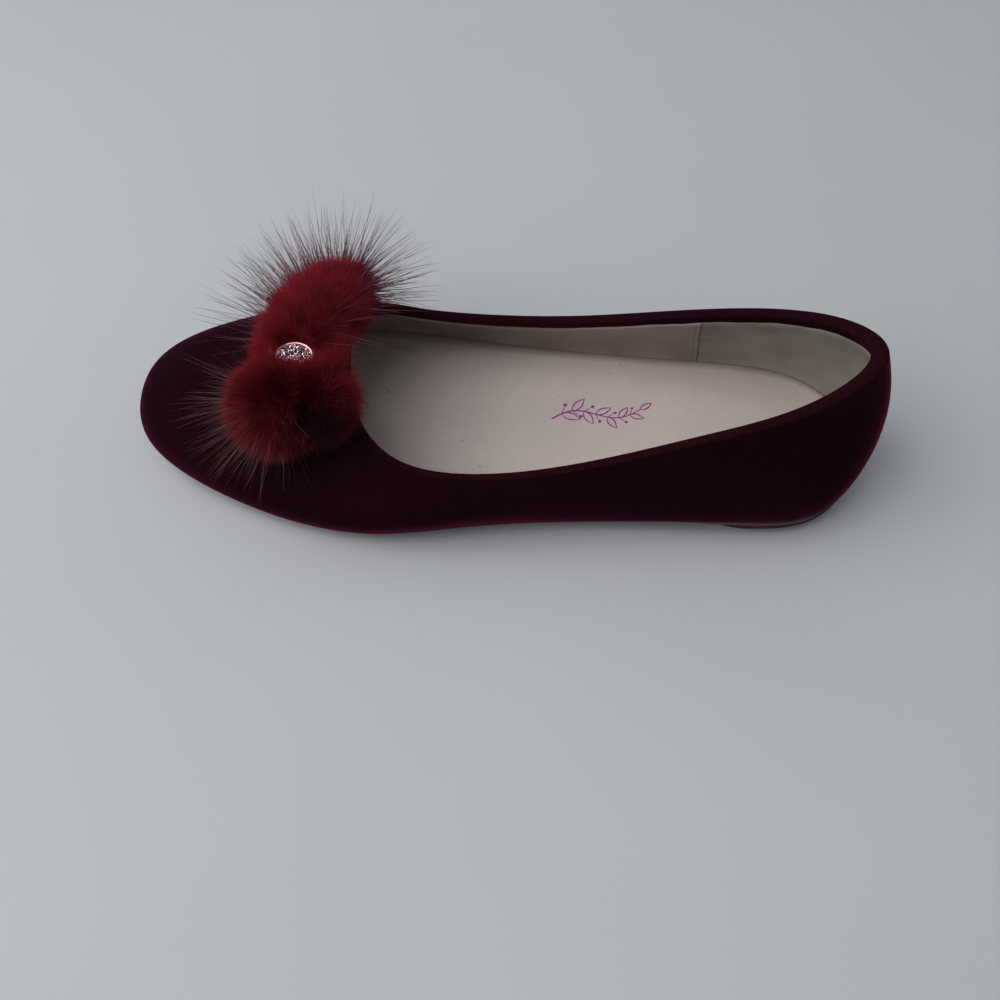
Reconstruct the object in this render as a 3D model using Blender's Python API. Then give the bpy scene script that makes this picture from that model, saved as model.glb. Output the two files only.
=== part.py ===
"""Girl's velvet ballet flat for the left foot, with a fur bow pinched by a clasp.

Frame: the toe points to -X and the heel to +X, +Y is the medial side, +Z is up and
the shoe stands on Z = 0. Sizes are in millimetres and degrees, meshes in metres.
"""

import bmesh
import bpy
import numpy as np

MM = 0.001

# Clearances between neighbours
GAP = 0.3
SOFT_GAP = 0.45

# Upper: wall, rolled topline, and the edge turned in under the insole
WALL = 2.0
RIM_CROWN = 1.0
RIM_TAPER = 0.3
EDGE_ROUND = 1.8
WALL_START = 0.05
INNER_START = 0.1
INNER_END = 0.9
MARGIN_WIDTH = 9.0
MARGIN_THICKNESS = 1.8
INNER_FILLET = 1.5

# Insole
INSOLE_THICKNESS = 2.0

# Sole: the tread is flat between the two ends of the forefoot's flat spot
SOLE_THICKNESS = 3.5
SOLE_TAPER = 0.8
FLAT_FRONT = -58.0
FLAT_BACK = -14.0
TOE_END = -109.0
TOE_SPRING = 5.2
TOE_CURVE = 1.6
HEEL_SEAT = 88.0
HEEL_RISE = 4.8

# Heel block
HEEL_BREAST = 64.0
BREAST_RAKE = 1.5
HEEL_INSET = 0.6
HEEL_TAPER = 2.2
BREAST_ROUND = 9.0
BREAST_CORNER = 3.0

# How finely the closed outlines and the wall are cut
STATIONS_PER_ROW = 6
SEAT_REFINEMENT = 3
WALL_STEPS = 11
RIM_STEPS = 4
EDGE_STEPS = 3
SHARP_ANGLE = 50.0
SOLE_STATIONS = 26
HEEL_STATIONS = 12
TIP_STEP = 0.12

# The last, clockwise seen from above. The feather edge is where the upper meets the
# sole and the top is the topline's outer edge. The wall leaves the feather edge leaning
# out by lean and keeps that way for rise; it reaches the topline at slope above the
# level, which it holds for reach. inset is how far the sole stands inside the feather edge,
# and roll is how thick the topline's roll is.
LAST_COLUMNS = (
    "feather_x", "feather_y", "top_x", "top_y", "top_z",
    "lean", "rise", "slope", "reach", "inset", "roll",
)
LAST_ROWS = {
    "heel_back":       (108.0, 0.0, 104.5, 0.5, 51.0, 19.5, 17.0, 68.0, 14.0, 0.5, 4.8),
    "heel_lateral":    (94.3, -23.8, 85.5, -17.0, 47.5, 10.0, 14.0, 84.0, 14.0, 0.0, 3.6),
    "quarter_lateral": (60.0, -29.1, 56.0, -23.5, 38.5, 15.0, 13.0, 80.0, 12.0, 1.4, 3.0),
    "waist_lateral":   (4.0, -31.8, 15.0, -31.0, 30.0, 23.0, 12.0, 68.0, 11.0, 4.0, 3.0),
    "ball_lateral":    (-34.5, -37.7, -22.5, -30.5, 28.5, 24.0, 12.0, 50.0, 14.0, 3.0, 3.0),
    "joint_lateral":   (-71.0, -31.0, -39.0, -17.0, 35.0, 22.0, 12.0, 36.0, 20.0, 3.0, 3.0),
    "toe_lateral":     (-100.5, -16.0, -42.0, -4.5, 39.5, 18.0, 12.0, 26.0, 28.0, 3.0, 3.0),
    "toe_tip":         (-109.0, 3.5, -43.0, 4.5, 40.0, 16.0, 12.0, 24.0, 30.0, 3.0, 3.0),
    "toe_medial":      (-102.0, 21.0, -42.0, 11.5, 39.5, 18.0, 12.0, 25.0, 28.0, 3.0, 3.0),
    "joint_medial":    (-74.0, 33.5, -34.5, 20.5, 37.0, 20.0, 12.0, 36.0, 20.0, 3.0, 3.0),
    "ball_medial":     (-37.5, 38.0, -18.0, 24.5, 31.5, 22.0, 12.0, 52.0, 14.0, 3.0, 3.0),
    "waist_medial":    (8.5, 34.0, 18.0, 27.0, 29.5, 20.0, 12.0, 70.0, 11.0, 5.5, 3.0),
    "quarter_medial":  (56.5, 30.0, 54.0, 23.5, 39.0, 16.0, 13.0, 82.0, 12.0, 3.0, 3.0),
    "heel_medial":     (92.5, 24.0, 89.5, 17.5, 47.0, 15.0, 14.0, 84.0, 14.0, 0.5, 3.6),
}

# The fur bow: each lobe is a puff in its own quarter around the clasp. A row holds the
# lobe's centre x, y and z, then its half length along x, y and z.
CLASP_CENTRE = np.array((-54.4, -7.0, 43.0))
CLASP_HALF = np.array((5.9, 4.6, 4.2))
PARTING_X = -51.5
PARTING_SLANT = 0.05
PINCH = 0.15
LOBE_ROWS = {
    "bow_loop_medial":  (-56.0, 8.5, 43.0, 11.8, 12.0, 10.5),
    "bow_loop_lateral": (-61.0, -19.5, 38.0, 12.8, 14.2, 12.0),
    "bow_tail_medial":  (-45.5, 14.0, 43.5, 10.6, 12.5, 9.0),
    "bow_tail_lateral": (-44.8, -18.0, 39.5, 9.0, 13.0, 7.0),
}
LOBE_SEGMENTS = 22
LOBE_RINGS = 13
CLASP_SEGMENTS = 20
CLASP_RINGS = 10

# Colours as linear red, green and blue, with roughness and metallic
FINISHES = {
    "velvet": ((0.020, 0.003, 0.006), 0.85, 0.0),
    "sock": ((0.42, 0.35, 0.32), 0.55, 0.0),
    "sole": ((0.10, 0.050, 0.035), 0.55, 0.0),
    "fur": ((0.055, 0.005, 0.008), 0.80, 0.0),
    "clasp": ((0.75, 0.70, 0.70), 0.25, 1.0),
}


def clear_scene():
    for old in list(bpy.data.objects):
        bpy.data.objects.remove(old, do_unlink=True)


def make_material(name):
    colour, roughness, metallic = FINISHES[name]
    material = bpy.data.materials.new(name)
    material.use_nodes = True
    shader = material.node_tree.nodes["Principled BSDF"]
    shader.inputs["Base Color"].default_value = (*colour, 1.0)
    shader.inputs["Roughness"].default_value = roughness
    shader.inputs["Metallic"].default_value = metallic
    material.diffuse_color = (*colour, 1.0)
    return material


def closed_spline(rows, u):
    """Points of the closed cubic spline through the rows, one row per unit of u."""
    count = len(rows)
    unit = np.eye(count)
    system = 4.0 * unit + np.roll(unit, 1, axis=1) + np.roll(unit, -1, axis=1)
    second = np.roll(rows, 1, axis=0) - 2.0 * rows + np.roll(rows, -1, axis=0)
    bend = np.linalg.solve(system, 6.0 * second)
    start = np.floor(u).astype(int) % count
    end = (start + 1) % count
    t = (u - np.floor(u))[:, None]
    s = 1.0 - t
    curve = (s**3 - s) * bend[start] + (t**3 - t) * bend[end]
    return s * rows[start] + t * rows[end] + curve / 6.0


def smooth_step(t):
    t = np.clip(t, 0.0, 1.0)
    return t * t * (3.0 - 2.0 * t)


def unit_rows(vectors):
    return vectors / np.linalg.norm(vectors, axis=-1, keepdims=True)


def plan_normals(curve):
    """Outward level normals of a closed curve that runs clockwise seen from above."""
    along = unit_rows((np.roll(curve, -1, axis=0) - np.roll(curve, 1, axis=0))[:, :2])
    return np.column_stack((-along[:, 1], along[:, 0]))


def tread_height(x):
    """Height of the outsole's underside: flat forefoot, toe spring, rise to the heel."""
    toe = np.clip((FLAT_FRONT - x) / (FLAT_FRONT - TOE_END), 0.0, None)
    waist = smooth_step((x - FLAT_BACK) / (HEEL_SEAT - FLAT_BACK))
    return TOE_SPRING * toe**TOE_CURVE + HEEL_RISE * waist


def feather_height(x):
    return tread_height(x) + SOLE_THICKNESS + GAP


class Last:
    """The upper's outer form, sampled at stations around the shoe."""

    def __init__(self, stations_per_row):
        rows = np.array(list(LAST_ROWS.values()))
        u = np.arange(len(rows) * stations_per_row) / stations_per_row
        value = dict(zip(LAST_COLUMNS, closed_spline(rows, u).T))
        self.feather = np.column_stack(
            (value["feather_x"], value["feather_y"], feather_height(value["feather_x"]))
        )
        self.top = np.column_stack((value["top_x"], value["top_y"], value["top_z"]))
        self.feather_out = plan_normals(self.feather)
        self.top_out = plan_normals(self.top)
        self.inset = value["inset"]
        self.roll = value["roll"][:, None]
        lean = np.radians(value["lean"])
        slope = np.radians(value["slope"])
        leave = np.column_stack((self.feather_out * np.sin(lean)[:, None], np.cos(lean)))
        arrive = np.column_stack((-self.top_out * np.cos(slope)[:, None], np.sin(slope)))
        self.low = self.feather + leave * value["rise"][:, None]
        self.high = self.top - arrive * value["reach"][:, None]
        self.arrive = arrive

    def outer(self, v):
        """Outer wall points at height v, 0 at the feather edge and 1 at the topline."""
        s = 1.0 - v
        return (
            s**3 * self.feather + 3 * v * s**2 * self.low
            + 3 * v**2 * s * self.high + v**3 * self.top
        )

    def normal(self, v):
        s = 1.0 - v
        ring = self.outer(v)
        around = np.roll(ring, -1, axis=0) - np.roll(ring, 1, axis=0)
        rising = (
            s**2 * (self.low - self.feather) + 2 * v * s * (self.high - self.low)
            + v**2 * (self.top - self.high)
        )
        return unit_rows(np.cross(rising, around))

    def inner(self, v):
        """Inner wall points; the wall thickens to the rolled topline's width."""
        swell = smooth_step((v - 1.0 + RIM_TAPER) / RIM_TAPER)
        return self.outer(v) - self.normal(v) * (WALL + (self.roll - WALL) * swell)

    def margin(self, inset, lift):
        """Points inside the feather edge by inset, raised by lift above the sole's seat."""
        plan = self.feather[:, :2] - self.feather_out * inset
        return np.column_stack((plan, feather_height(plan[:, 0]) + lift))

    def rim(self, turn):
        """Points over the rolled topline, from the outer edge at 0 to the inner at pi."""
        half = 0.5 * self.roll
        out = self.normal(1.0)
        middle = self.top - out * half
        return middle + out * half * np.cos(turn) + self.arrive * RIM_CROWN * np.sin(turn)

    def inside_at(self, lift):
        """Plan outline of the inner wall at a height above the sole's seat."""
        steps = [self.margin(WALL + INNER_FILLET, MARGIN_THICKNESS)]
        steps += [self.inner(v) for v in np.linspace(INNER_START, 0.5, WALL_STEPS)]
        walls = np.array(steps)
        outline = np.empty((len(self.feather), 2))
        for station in range(len(outline)):
            heights = walls[:, station, 2] - feather_height(walls[:, station, 0])
            for axis in range(2):
                outline[station, axis] = np.interp(lift, heights, walls[:, station, axis])
        return outline


def paired_ring(outline, height, count, start=None):
    """A plan outline cut at levels of X into lateral and medial points of equal X.

    The ring runs from the toe end along the lateral side to the heel and back along the
    medial side. With start it begins there, with a straight front edge.
    """
    toe = int(np.argmin(outline[:, 0]))
    heel = int(np.argmax(outline[:, 0]))
    lateral = np.roll(outline, -heel, axis=0)[: (toe - heel) % len(outline) + 1][::-1]
    medial = np.roll(outline, -toe, axis=0)[: (heel - toe) % len(outline) + 1]
    low = outline[toe, 0] + TIP_STEP if start is None else start
    high = outline[heel, 0] - TIP_STEP
    spread = 0.5 - 0.5 * np.cos(np.linspace(0.0, np.pi, count))
    if start is not None:
        spread = np.sin(np.linspace(0.0, 0.5 * np.pi, count))
    x = low + (high - low) * spread
    side = [np.column_stack((x, np.interp(x, half[:, 0], half[:, 1]))) for half in (lateral, medial)]
    plan = np.vstack((side[0], side[1][::-1]))
    return np.column_stack((plan, height(plan[:, 0])))


def new_object(name, mesh_data, material, parent):
    mesh = bpy.data.meshes.new(name)
    mesh_data.to_mesh(mesh)
    mesh_data.free()
    mesh.shade_smooth()
    mesh.set_sharp_from_angle(angle=np.radians(SHARP_ANGLE))
    mesh.materials.append(material)
    piece = bpy.data.objects.new(name, mesh)
    piece.parent = parent
    bpy.context.collection.objects.link(piece)
    return piece


def bridge(shape, first, second):
    count = len(first)
    for i in range(count):
        j = (i + 1) % count
        shape.faces.new((first[i], first[j], second[j], second[i]))


def add_ring(shape, points):
    return [shape.verts.new(point * MM) for point in points]


def fill_ring(shape, ring):
    """Close a paired ring with a ladder of strips from the lateral to the medial side."""
    count = len(ring)
    for i in range(count // 2 - 1):
        shape.faces.new((ring[i], ring[i + 1], ring[count - 2 - i], ring[count - 1 - i]))


def stacked_rings(rings):
    """A closed body through paired rings, filled at both ends."""
    shape = bmesh.new()
    loops = [add_ring(shape, ring) for ring in rings]
    for lower, upper in zip(loops, loops[1:]):
        bridge(shape, lower, upper)
    fill_ring(shape, loops[0])
    fill_ring(shape, loops[-1])
    bmesh.ops.recalc_face_normals(shape, faces=shape.faces)
    return shape


def upper_shape(last):
    """The wall's closed section swept round the shoe, open at the collar and below."""
    profile = [last.margin(MARGIN_WIDTH, 0.0), last.margin(EDGE_ROUND, 0.0)]
    bend_from, bend_to = profile[-1], last.outer(WALL_START)
    for t in np.arange(1, EDGE_STEPS) / EDGE_STEPS:
        s = 1.0 - t
        profile.append(s * s * bend_from + 2 * s * t * last.feather + t * t * bend_to)
    profile += [last.outer(v) for v in np.linspace(WALL_START, 1.0, WALL_STEPS)]
    profile += [last.rim(turn) for turn in np.linspace(0.0, np.pi, RIM_STEPS + 1)[1:]]
    profile += [last.inner(v) for v in np.linspace(INNER_END, INNER_START, WALL_STEPS - 2)]
    profile.append(last.margin(WALL + INNER_FILLET, MARGIN_THICKNESS))
    profile.append(last.margin(MARGIN_WIDTH, MARGIN_THICKNESS))
    shape = bmesh.new()
    loops = [add_ring(shape, ring) for ring in profile]
    for lower, upper in zip(loops, loops[1:] + loops[:1]):
        bridge(shape, lower, upper)
    bmesh.ops.recalc_face_normals(shape, faces=shape.faces)
    return shape


def insole_shape(last):
    """Board and sock on the turned-in edge, with a filled middle that meets the sole."""
    base = MARGIN_THICKNESS + GAP
    top = base + INSOLE_THICKNESS
    core = last.margin(MARGIN_WIDTH + SOFT_GAP, 0.0)[:, :2]
    outlines = [(core, 0.0), (core, base)]
    for lift in (base, top):
        outline = last.inside_at(lift)
        outlines.append((outline - plan_normals(outline) * SOFT_GAP, lift))
    return stacked_rings(
        [
            paired_ring(plan, lambda x, lift=lift: feather_height(x) + lift, SOLE_STATIONS)
            for plan, lift in outlines
        ]
    )


def sole_outline(last, extra):
    return last.feather[:, :2] - last.feather_out * (last.inset + extra)[:, None]


def outsole_shape(last):
    tread = paired_ring(sole_outline(last, SOLE_TAPER), tread_height, SOLE_STATIONS)
    seat = paired_ring(
        sole_outline(last, 0.0), lambda x: tread_height(x) + SOLE_THICKNESS, SOLE_STATIONS
    )
    return stacked_rings([tread, seat])


def round_breast(ring):
    """Draw a heel ring's two front corners in along an arc."""
    ahead = 1.0 - np.clip((ring[:, 0] - ring[:, 0].min()) / BREAST_ROUND, 0.0, 1.0)
    drawn = BREAST_CORNER * (1.0 - np.sqrt(1.0 - ahead**2))
    lateral = np.arange(len(ring)) < len(ring) // 2
    ring[:, 1] += np.where(lateral, drawn, -drawn)
    return ring


def heel_shape(last):
    lift = paired_ring(
        sole_outline(last, HEEL_INSET + HEEL_TAPER), lambda x: 0.0 * x,
        HEEL_STATIONS, HEEL_BREAST + BREAST_RAKE,
    )
    seat = paired_ring(
        sole_outline(last, HEEL_INSET), lambda x: tread_height(x) - GAP,
        HEEL_STATIONS, HEEL_BREAST,
    )
    return stacked_rings([round_breast(lift), round_breast(seat)])


def ball(centre, half, segments, rings):
    shape = bmesh.new()
    bmesh.ops.create_uvsphere(shape, u_segments=segments, v_segments=rings, radius=1.0)
    points = np.array([vert.co for vert in shape.verts])
    return shape, centre + points * half


def pinch(points, lobe):
    """Draw a lobe in across its length towards the clasp."""
    axis = lobe[:2] - CLASP_CENTRE[:2]
    axis /= np.linalg.norm(axis)
    offset = points[:, :2] - lobe[:2]
    along = offset @ axis
    share = 0.5 - 0.5 * along / np.abs(along).max()
    squeeze = 1.0 - PINCH * share
    points[:, :2] = lobe[:2] + along[:, None] * axis
    points[:, :2] += (offset - along[:, None] * axis) * squeeze[:, None]
    points[:, 2] = lobe[2] + (points[:, 2] - lobe[2]) * squeeze
    return points


def keep_in_quarter(points, lobe):
    """Hold a lobe on its own side of the bow's middle and of the loops' parting."""
    half_gap = 0.5 * SOFT_GAP
    side = np.sign(lobe[1] - CLASP_CENTRE[1])
    across = side * (points[:, 1] - CLASP_CENTRE[1])
    points[:, 1] += side * np.clip(half_gap - across, 0.0, None)
    parting = PARTING_X + PARTING_SLANT * (points[:, 1] - CLASP_CENTRE[1])
    end = np.sign(lobe[0] - PARTING_X)
    past = end * (points[:, 0] - parting)
    points[:, 0] += end * np.clip(half_gap - past, 0.0, None)
    return points


def settle(points, last):
    """Rest points on the outside of the wall, and over the opening on the rim's level."""
    heights = np.linspace(INNER_START, 1.0, SEAT_REFINEMENT * WALL_STEPS)
    skin = np.vstack([last.outer(v) for v in heights])
    skin_out = np.vstack([last.normal(v) for v in heights])
    rest = points.copy()
    for i, point in enumerate(points):
        edge = int(np.argmin(np.sum((last.top[:, :2] - point[:2]) ** 2, axis=1)))
        if np.dot(point[:2] - last.top[edge, :2], last.top_out[edge]) < 0.0:
            rest[i, 2] = max(point[2], last.top[edge, 2] + RIM_CROWN + SOFT_GAP)
            continue
        near = int(np.argmin(np.sum((skin - point) ** 2, axis=1)))
        depth = np.dot(point - skin[near], skin_out[near])
        rest[i] += skin_out[near] * max(SOFT_GAP - depth, 0.0)
    return rest


def lobe_shape(row, last):
    lobe = np.array(row)
    shape, points = ball(lobe[:3], lobe[3:], LOBE_SEGMENTS, LOBE_RINGS)
    points = settle(keep_in_quarter(pinch(points, lobe), lobe), last)
    for vert, point in zip(shape.verts, points):
        vert.co = point * MM
    bmesh.ops.recalc_face_normals(shape, faces=shape.faces)
    return shape


def clasp_shape(clearance):
    shape, points = ball(CLASP_CENTRE, CLASP_HALF + clearance, CLASP_SEGMENTS, CLASP_RINGS)
    for vert, point in zip(shape.verts, points):
        vert.co = point * MM
    return shape


def main():
    clear_scene()
    materials = {name: make_material(name) for name in FINISHES}
    last = Last(STATIONS_PER_ROW)
    fine_last = Last(SEAT_REFINEMENT * STATIONS_PER_ROW)
    origin = bpy.data.objects.new("shoe_origin", None)
    bpy.context.collection.objects.link(origin)

    upper = new_object("upper", upper_shape(last), materials["velvet"], origin)
    new_object("insole", insole_shape(last), materials["sock"], origin)
    new_object("outsole", outsole_shape(last), materials["sole"], origin)
    new_object("heel", heel_shape(last), materials["sole"], origin)
    new_object("bow_clasp", clasp_shape(0.0), materials["clasp"], origin)
    room = new_object("clasp_room", clasp_shape(GAP), materials["clasp"], origin)
    room.hide_render = True
    room.display_type = "WIRE"
    for name, row in LOBE_ROWS.items():
        lobe = new_object(name, lobe_shape(row, fine_last), materials["fur"], origin)
        press = lobe.modifiers.new("pressed by the clasp", "BOOLEAN")
        press.operation = "DIFFERENCE"
        press.object = room

    # The upper is the widest piece: its plan box is centred on the origin
    corners = np.array(upper.bound_box)
    middle = 0.5 * (corners.min(axis=0) + corners.max(axis=0))
    origin.location = (-middle[0], -middle[1], 0.0)


main()
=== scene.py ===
"""Looks of the girl's velvet ballet flat: velvet, lining, sock, sole, fur bow and clasp.

Shapes are worked out in millimetres in the last's own frame, with the toe to -X, the
medial side to +Y and the floor at 0, and are placed in metres in the model's frame.
"""

import bmesh
import bpy
import numpy as np
from mathutils import Matrix, Vector


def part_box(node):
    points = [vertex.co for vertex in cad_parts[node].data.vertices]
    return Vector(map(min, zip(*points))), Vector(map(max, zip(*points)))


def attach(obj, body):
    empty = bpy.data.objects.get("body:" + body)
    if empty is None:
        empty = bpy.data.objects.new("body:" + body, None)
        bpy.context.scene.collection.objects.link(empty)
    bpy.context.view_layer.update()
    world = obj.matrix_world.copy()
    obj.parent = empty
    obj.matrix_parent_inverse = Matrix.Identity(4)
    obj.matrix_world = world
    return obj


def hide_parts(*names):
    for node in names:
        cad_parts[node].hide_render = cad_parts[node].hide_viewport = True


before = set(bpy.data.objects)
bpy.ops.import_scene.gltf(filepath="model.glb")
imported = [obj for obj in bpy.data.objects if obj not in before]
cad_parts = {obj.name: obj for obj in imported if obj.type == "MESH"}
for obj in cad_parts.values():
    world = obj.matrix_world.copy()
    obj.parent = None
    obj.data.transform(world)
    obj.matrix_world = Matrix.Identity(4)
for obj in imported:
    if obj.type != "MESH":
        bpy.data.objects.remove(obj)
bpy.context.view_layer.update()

MM = 0.001
SEED = 7

# The wall, its rolled topline and the edge turned in under the sock
WALL = 2.0
RIM_CROWN = 1.0
RIM_TAPER = 0.3
EDGE_ROUND = 1.8
WALL_START = 0.05
INNER_START = 0.1
INNER_END = 0.97
MARGIN_WIDTH = 9.0
MARGIN_THICKNESS = 1.8
INNER_FILLET = 1.5
STATIONS_PER_ROW = 16
WALL_STEPS = 40
RIM_STEPS = 16
EDGE_STEPS = 5

# Painted sheen along the velvet's lower edge: it is painted paler there, least at the heel
PAINTED_SHEEN_HEIGHT = 9.0
PAINTED_SHEEN_BACK = 40.0
PAINTED_SHEEN_SPAN = 90.0
PAINTED_SHEEN_HEEL = 0.3

# A line pressed into the roll where the velvet is turned to the inside
RIM_LINE_TURN = 2.05
RIM_LINE_SPREAD = 0.14
RIM_LINE_DEPTH = 0.05

# Sole and heel
GAP = 0.3
SOLE_THICKNESS = 3.5
SOLE_TAPER = 0.8
SOLE_ROUND = 0.6
FLAT_FRONT = -58.0
FLAT_BACK = -14.0
TOE_END = -109.0
TOE_SPRING = 5.2
TOE_CURVE = 1.6
HEEL_SEAT = 88.0
HEEL_RISE = 4.8
HEEL_BREAST = 64.0
BREAST_RAKE = 1.5
HEEL_INSET = 0.6
HEEL_TAPER = 2.2
BREAST_ROUND = 9.0
BREAST_CORNER = 3.0
HEEL_ROUND = 0.5
SOLE_STATIONS = 110
HEEL_STATIONS = 50
TIP_STEP = 0.05
EDGE_SHARP = 40.0
ROUND_SHARE = 0.3

# Lining: the velvet is turned in as far as the drop and the lining starts there, with an edge
# in waves of a size, pace and start. The front lining's stitched ends lie on the heel lining.
LINING_DROP = 2.6
LINING_WAVES = ((0.18, 0.83, 0.0), (0.108, 2.1, 1.0))
FRONT_LINING = 0.55
HEEL_LINING = 0.25
LINING_BACK = 0.04
LINING_LIP = 0.3
LINING_FOOT = 3.2
LINING_STEPS = 18
LINING_SHARP = 50.0
SEAM_SLANT = 0.1
SEAM_TUCK = 1.5
# Dark spots on the heel lining, each a place and a radius: the first three are smudge marks, the two
# beside the seam are painted shade
HEEL_SMUDGES_AND_SHADE = (
    ((77.0, 19.5, 38.0), 7.0), ((70.5, 20.5, 39.5), 5.0), ((84.0, 17.5, 41.0), 5.0),
    ((61.5, 24.5, 26.0), 13.0), ((61.0, 23.0, 36.0), 10.0),
)
SMUDGE_AND_SHADE_COLOUR = (0.075, 0.062, 0.055, 1.0)
# Radius of the dark cord at the front lining's cut end, which also paints that end's shadow
EDGE_CORD_RADIUS = 0.15
STITCH_INSET = 0.6
STITCH_PITCH = 2.0
STITCH_LENGTH = 1.35
STITCH_RADIUS = 0.2
STITCH_RISE = 0.14
STITCH_SIDES = 8
STITCH_END = 0.15
STITCH_SUNK = 0.6

# Sock
SOCK_BASE = 2.1
SOCK_TOP = 4.1
SOCK_INSET = 0.85
SOCK_ROUND = 0.5
SOCK_DISH = 0.35
SOCK_SHARP = 60.0
SOCK_SHARES = (0.9, 0.75, 0.55, 0.3, 0.1)
SOCK_SPECKS = (
    (-10.0, -5.1), (-3.8, -14.4), (-29.9, 27.1), (33.8, 22.1), (37.0, 25.5), (-34.5, 11.5),
)
SPECK_RADIUS = 0.32

# A small sprig of foil lines on the sock, under the heel of the foot
SPRIG_START = np.array((16.5, 4.2))
SPRIG_LENGTH = 27.0
SPRIG_TURN = 9.0
SPRIG_SWAY = 2.2
SPRIG_LEAVES = 8
LEAF_LENGTH = 6.4
LEAF_WIDTH = 1.25
LEAF_TURN = 46.0
LEAF_STEPS = 13
BERRY_RADIUS = 0.62
BERRY_STALK = 3.0
FOIL_LINE = 0.22
FOIL_RISE = 0.05
FOIL_SINK = 0.10
FOIL_THIN = 0.45
STEM_TAPER = (1.3, 0.7)
STEM_STEP = 0.02
LEAF_FIRST = 0.12
LEAF_SHRINK = 0.35
LEAF_SKEW = 0.85
STALK_LINE = 0.6
BERRY_END = 0.02

# The last, clockwise seen from above. The feather edge is where the upper meets the
# sole and the top is the topline's outer edge. The wall leaves the feather edge leaning
# out by lean and keeps that way for rise; it reaches the topline at slope above the
# level, which it holds for reach. inset is how far the sole stands inside the feather edge,
# and roll is how thick the topline's roll is.
LAST_COLUMNS = (
    "feather_x", "feather_y", "top_x", "top_y", "top_z",
    "lean", "rise", "slope", "reach", "inset", "roll",
)
LAST_ROWS = {
    "heel_back":       (108.0, 0.0, 104.5, 0.5, 51.0, 19.5, 17.0, 68.0, 14.0, 0.5, 4.8),
    "heel_lateral":    (94.3, -23.8, 85.5, -17.0, 47.5, 10.0, 14.0, 84.0, 14.0, 0.0, 3.6),
    "quarter_lateral": (60.0, -29.1, 56.0, -23.5, 38.5, 15.0, 13.0, 80.0, 12.0, 1.4, 3.0),
    "waist_lateral":   (4.0, -31.8, 15.0, -31.0, 30.0, 23.0, 12.0, 68.0, 11.0, 4.0, 3.0),
    "ball_lateral":    (-34.5, -37.7, -22.5, -30.5, 28.5, 24.0, 12.0, 50.0, 14.0, 3.0, 3.0),
    "joint_lateral":   (-71.0, -31.0, -39.0, -17.0, 35.0, 22.0, 12.0, 36.0, 20.0, 3.0, 3.0),
    "toe_lateral":     (-100.5, -16.0, -42.0, -4.5, 39.5, 18.0, 12.0, 26.0, 28.0, 3.0, 3.0),
    "toe_tip":         (-109.0, 3.5, -43.0, 4.5, 40.0, 16.0, 12.0, 24.0, 30.0, 3.0, 3.0),
    "toe_medial":      (-102.0, 21.0, -42.0, 11.5, 39.5, 18.0, 12.0, 25.0, 28.0, 3.0, 3.0),
    "joint_medial":    (-74.0, 33.5, -34.5, 20.5, 37.0, 20.0, 12.0, 36.0, 20.0, 3.0, 3.0),
    "ball_medial":     (-37.5, 38.0, -18.0, 24.5, 31.5, 22.0, 12.0, 52.0, 14.0, 3.0, 3.0),
    "waist_medial":    (8.5, 34.0, 18.0, 27.0, 29.5, 20.0, 12.0, 70.0, 11.0, 5.5, 3.0),
    "quarter_medial":  (56.5, 30.0, 54.0, 23.5, 39.0, 16.0, 13.0, 82.0, 12.0, 3.0, 3.0),
    "heel_medial":     (92.5, 24.0, 89.5, 17.5, 47.0, 15.0, 14.0, 84.0, 14.0, 0.5, 3.6),
}
ROW_NAMES = list(LAST_ROWS)
SEAM_MEDIAL = ROW_NAMES.index("quarter_medial") * STATIONS_PER_ROW + 1.6
SEAM_LATERAL = ROW_NAMES.index("quarter_lateral") * STATIONS_PER_ROW - 1.6

# The fur bow. Fur grows on rounded forms, parted across the bow: a row holds a form's centre
# x, y and z, its half length along each of its axes and its turn in plan. The two medial
# lobes share one form.
CLASP_CENTRE = np.array((-54.4, -7.0, 43.0))
CLASP_HALF = np.array((5.9, 4.6, 4.2))
PARTING_X = -51.5
MEDIAL_FORM = (-51.0, 9.0, 43.5, 18.5, 10.8, 9.6, 60.0)
FORM_ROWS = {
    "bow_loop_medial":  MEDIAL_FORM,
    "bow_loop_lateral": (-58.0, -18.4, 38.0, 11.6, 11.7, 11.2, 0.0),
    "bow_tail_medial":  MEDIAL_FORM,
    "bow_tail_lateral": (-47.6, -17.5, 39.2, 10.2, 11.4, 7.5, 0.0),
}

# Hairs grow round a core on a slightly lumpy skin, and no tip stands higher than the top or
# further out than the side. The clasp is left clear as far as it shows to its near and far
# side. The least reach and rise keep divisors away from zero.
CORE_SHARE = 0.58
CORE_DETAIL = 4
# The core is painted near the roots' dark colour, as painted shade under the fur
CORE_TONE = 0.3
LUMP_SIZE = 11.0
LUMP_RISE = 0.45
ROOT_DEPTH = 2.8
HAIR_TOP = 62.5
HAIR_SIDE = 50.5
HAIR_CLEAR = 0.25
HAIR_TAPER = 0.6
SWEEP_DROP = 5.0
TUFT_SIZE = 5.0
CLASP_CLEAR = 0.15
CLASP_SHOWN = (2.4, 5.2)
LEAST_REACH = 0.2
LEAST_RISE = 0.05
FACING_CHANCE = 0.3

# More underfur fills the bow's middle around the clasp, on an oval patch. It is shortest beside
# the clasp and leans away from it, but the lateral fur in front leans over the clasp's edge.
MIDDLE_CENTRE = np.array((-53.0, -6.5))
MIDDLE_HALF = np.array((9.5, 7.5))
MIDDLE_LOW = 39.5
MIDDLE_INNER = 0.50
MIDDLE_HAIRS = 26000
MIDDLE_LENGTH = {"medial": (7.2, 12.6), "lateral": (7.6, 11.8)}
MIDDLE_SPREAD = 0.8
# Painted light: the middle hairs are painted nearly in their tips' colour along their length, lifting
# the shade round the clasp
MIDDLE_PAINTED_LIGHT = 0.95
MIDDLE_LEAN = {"medial": (0.25, 0.05), "lateral": (0.2, -0.36)}
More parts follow.
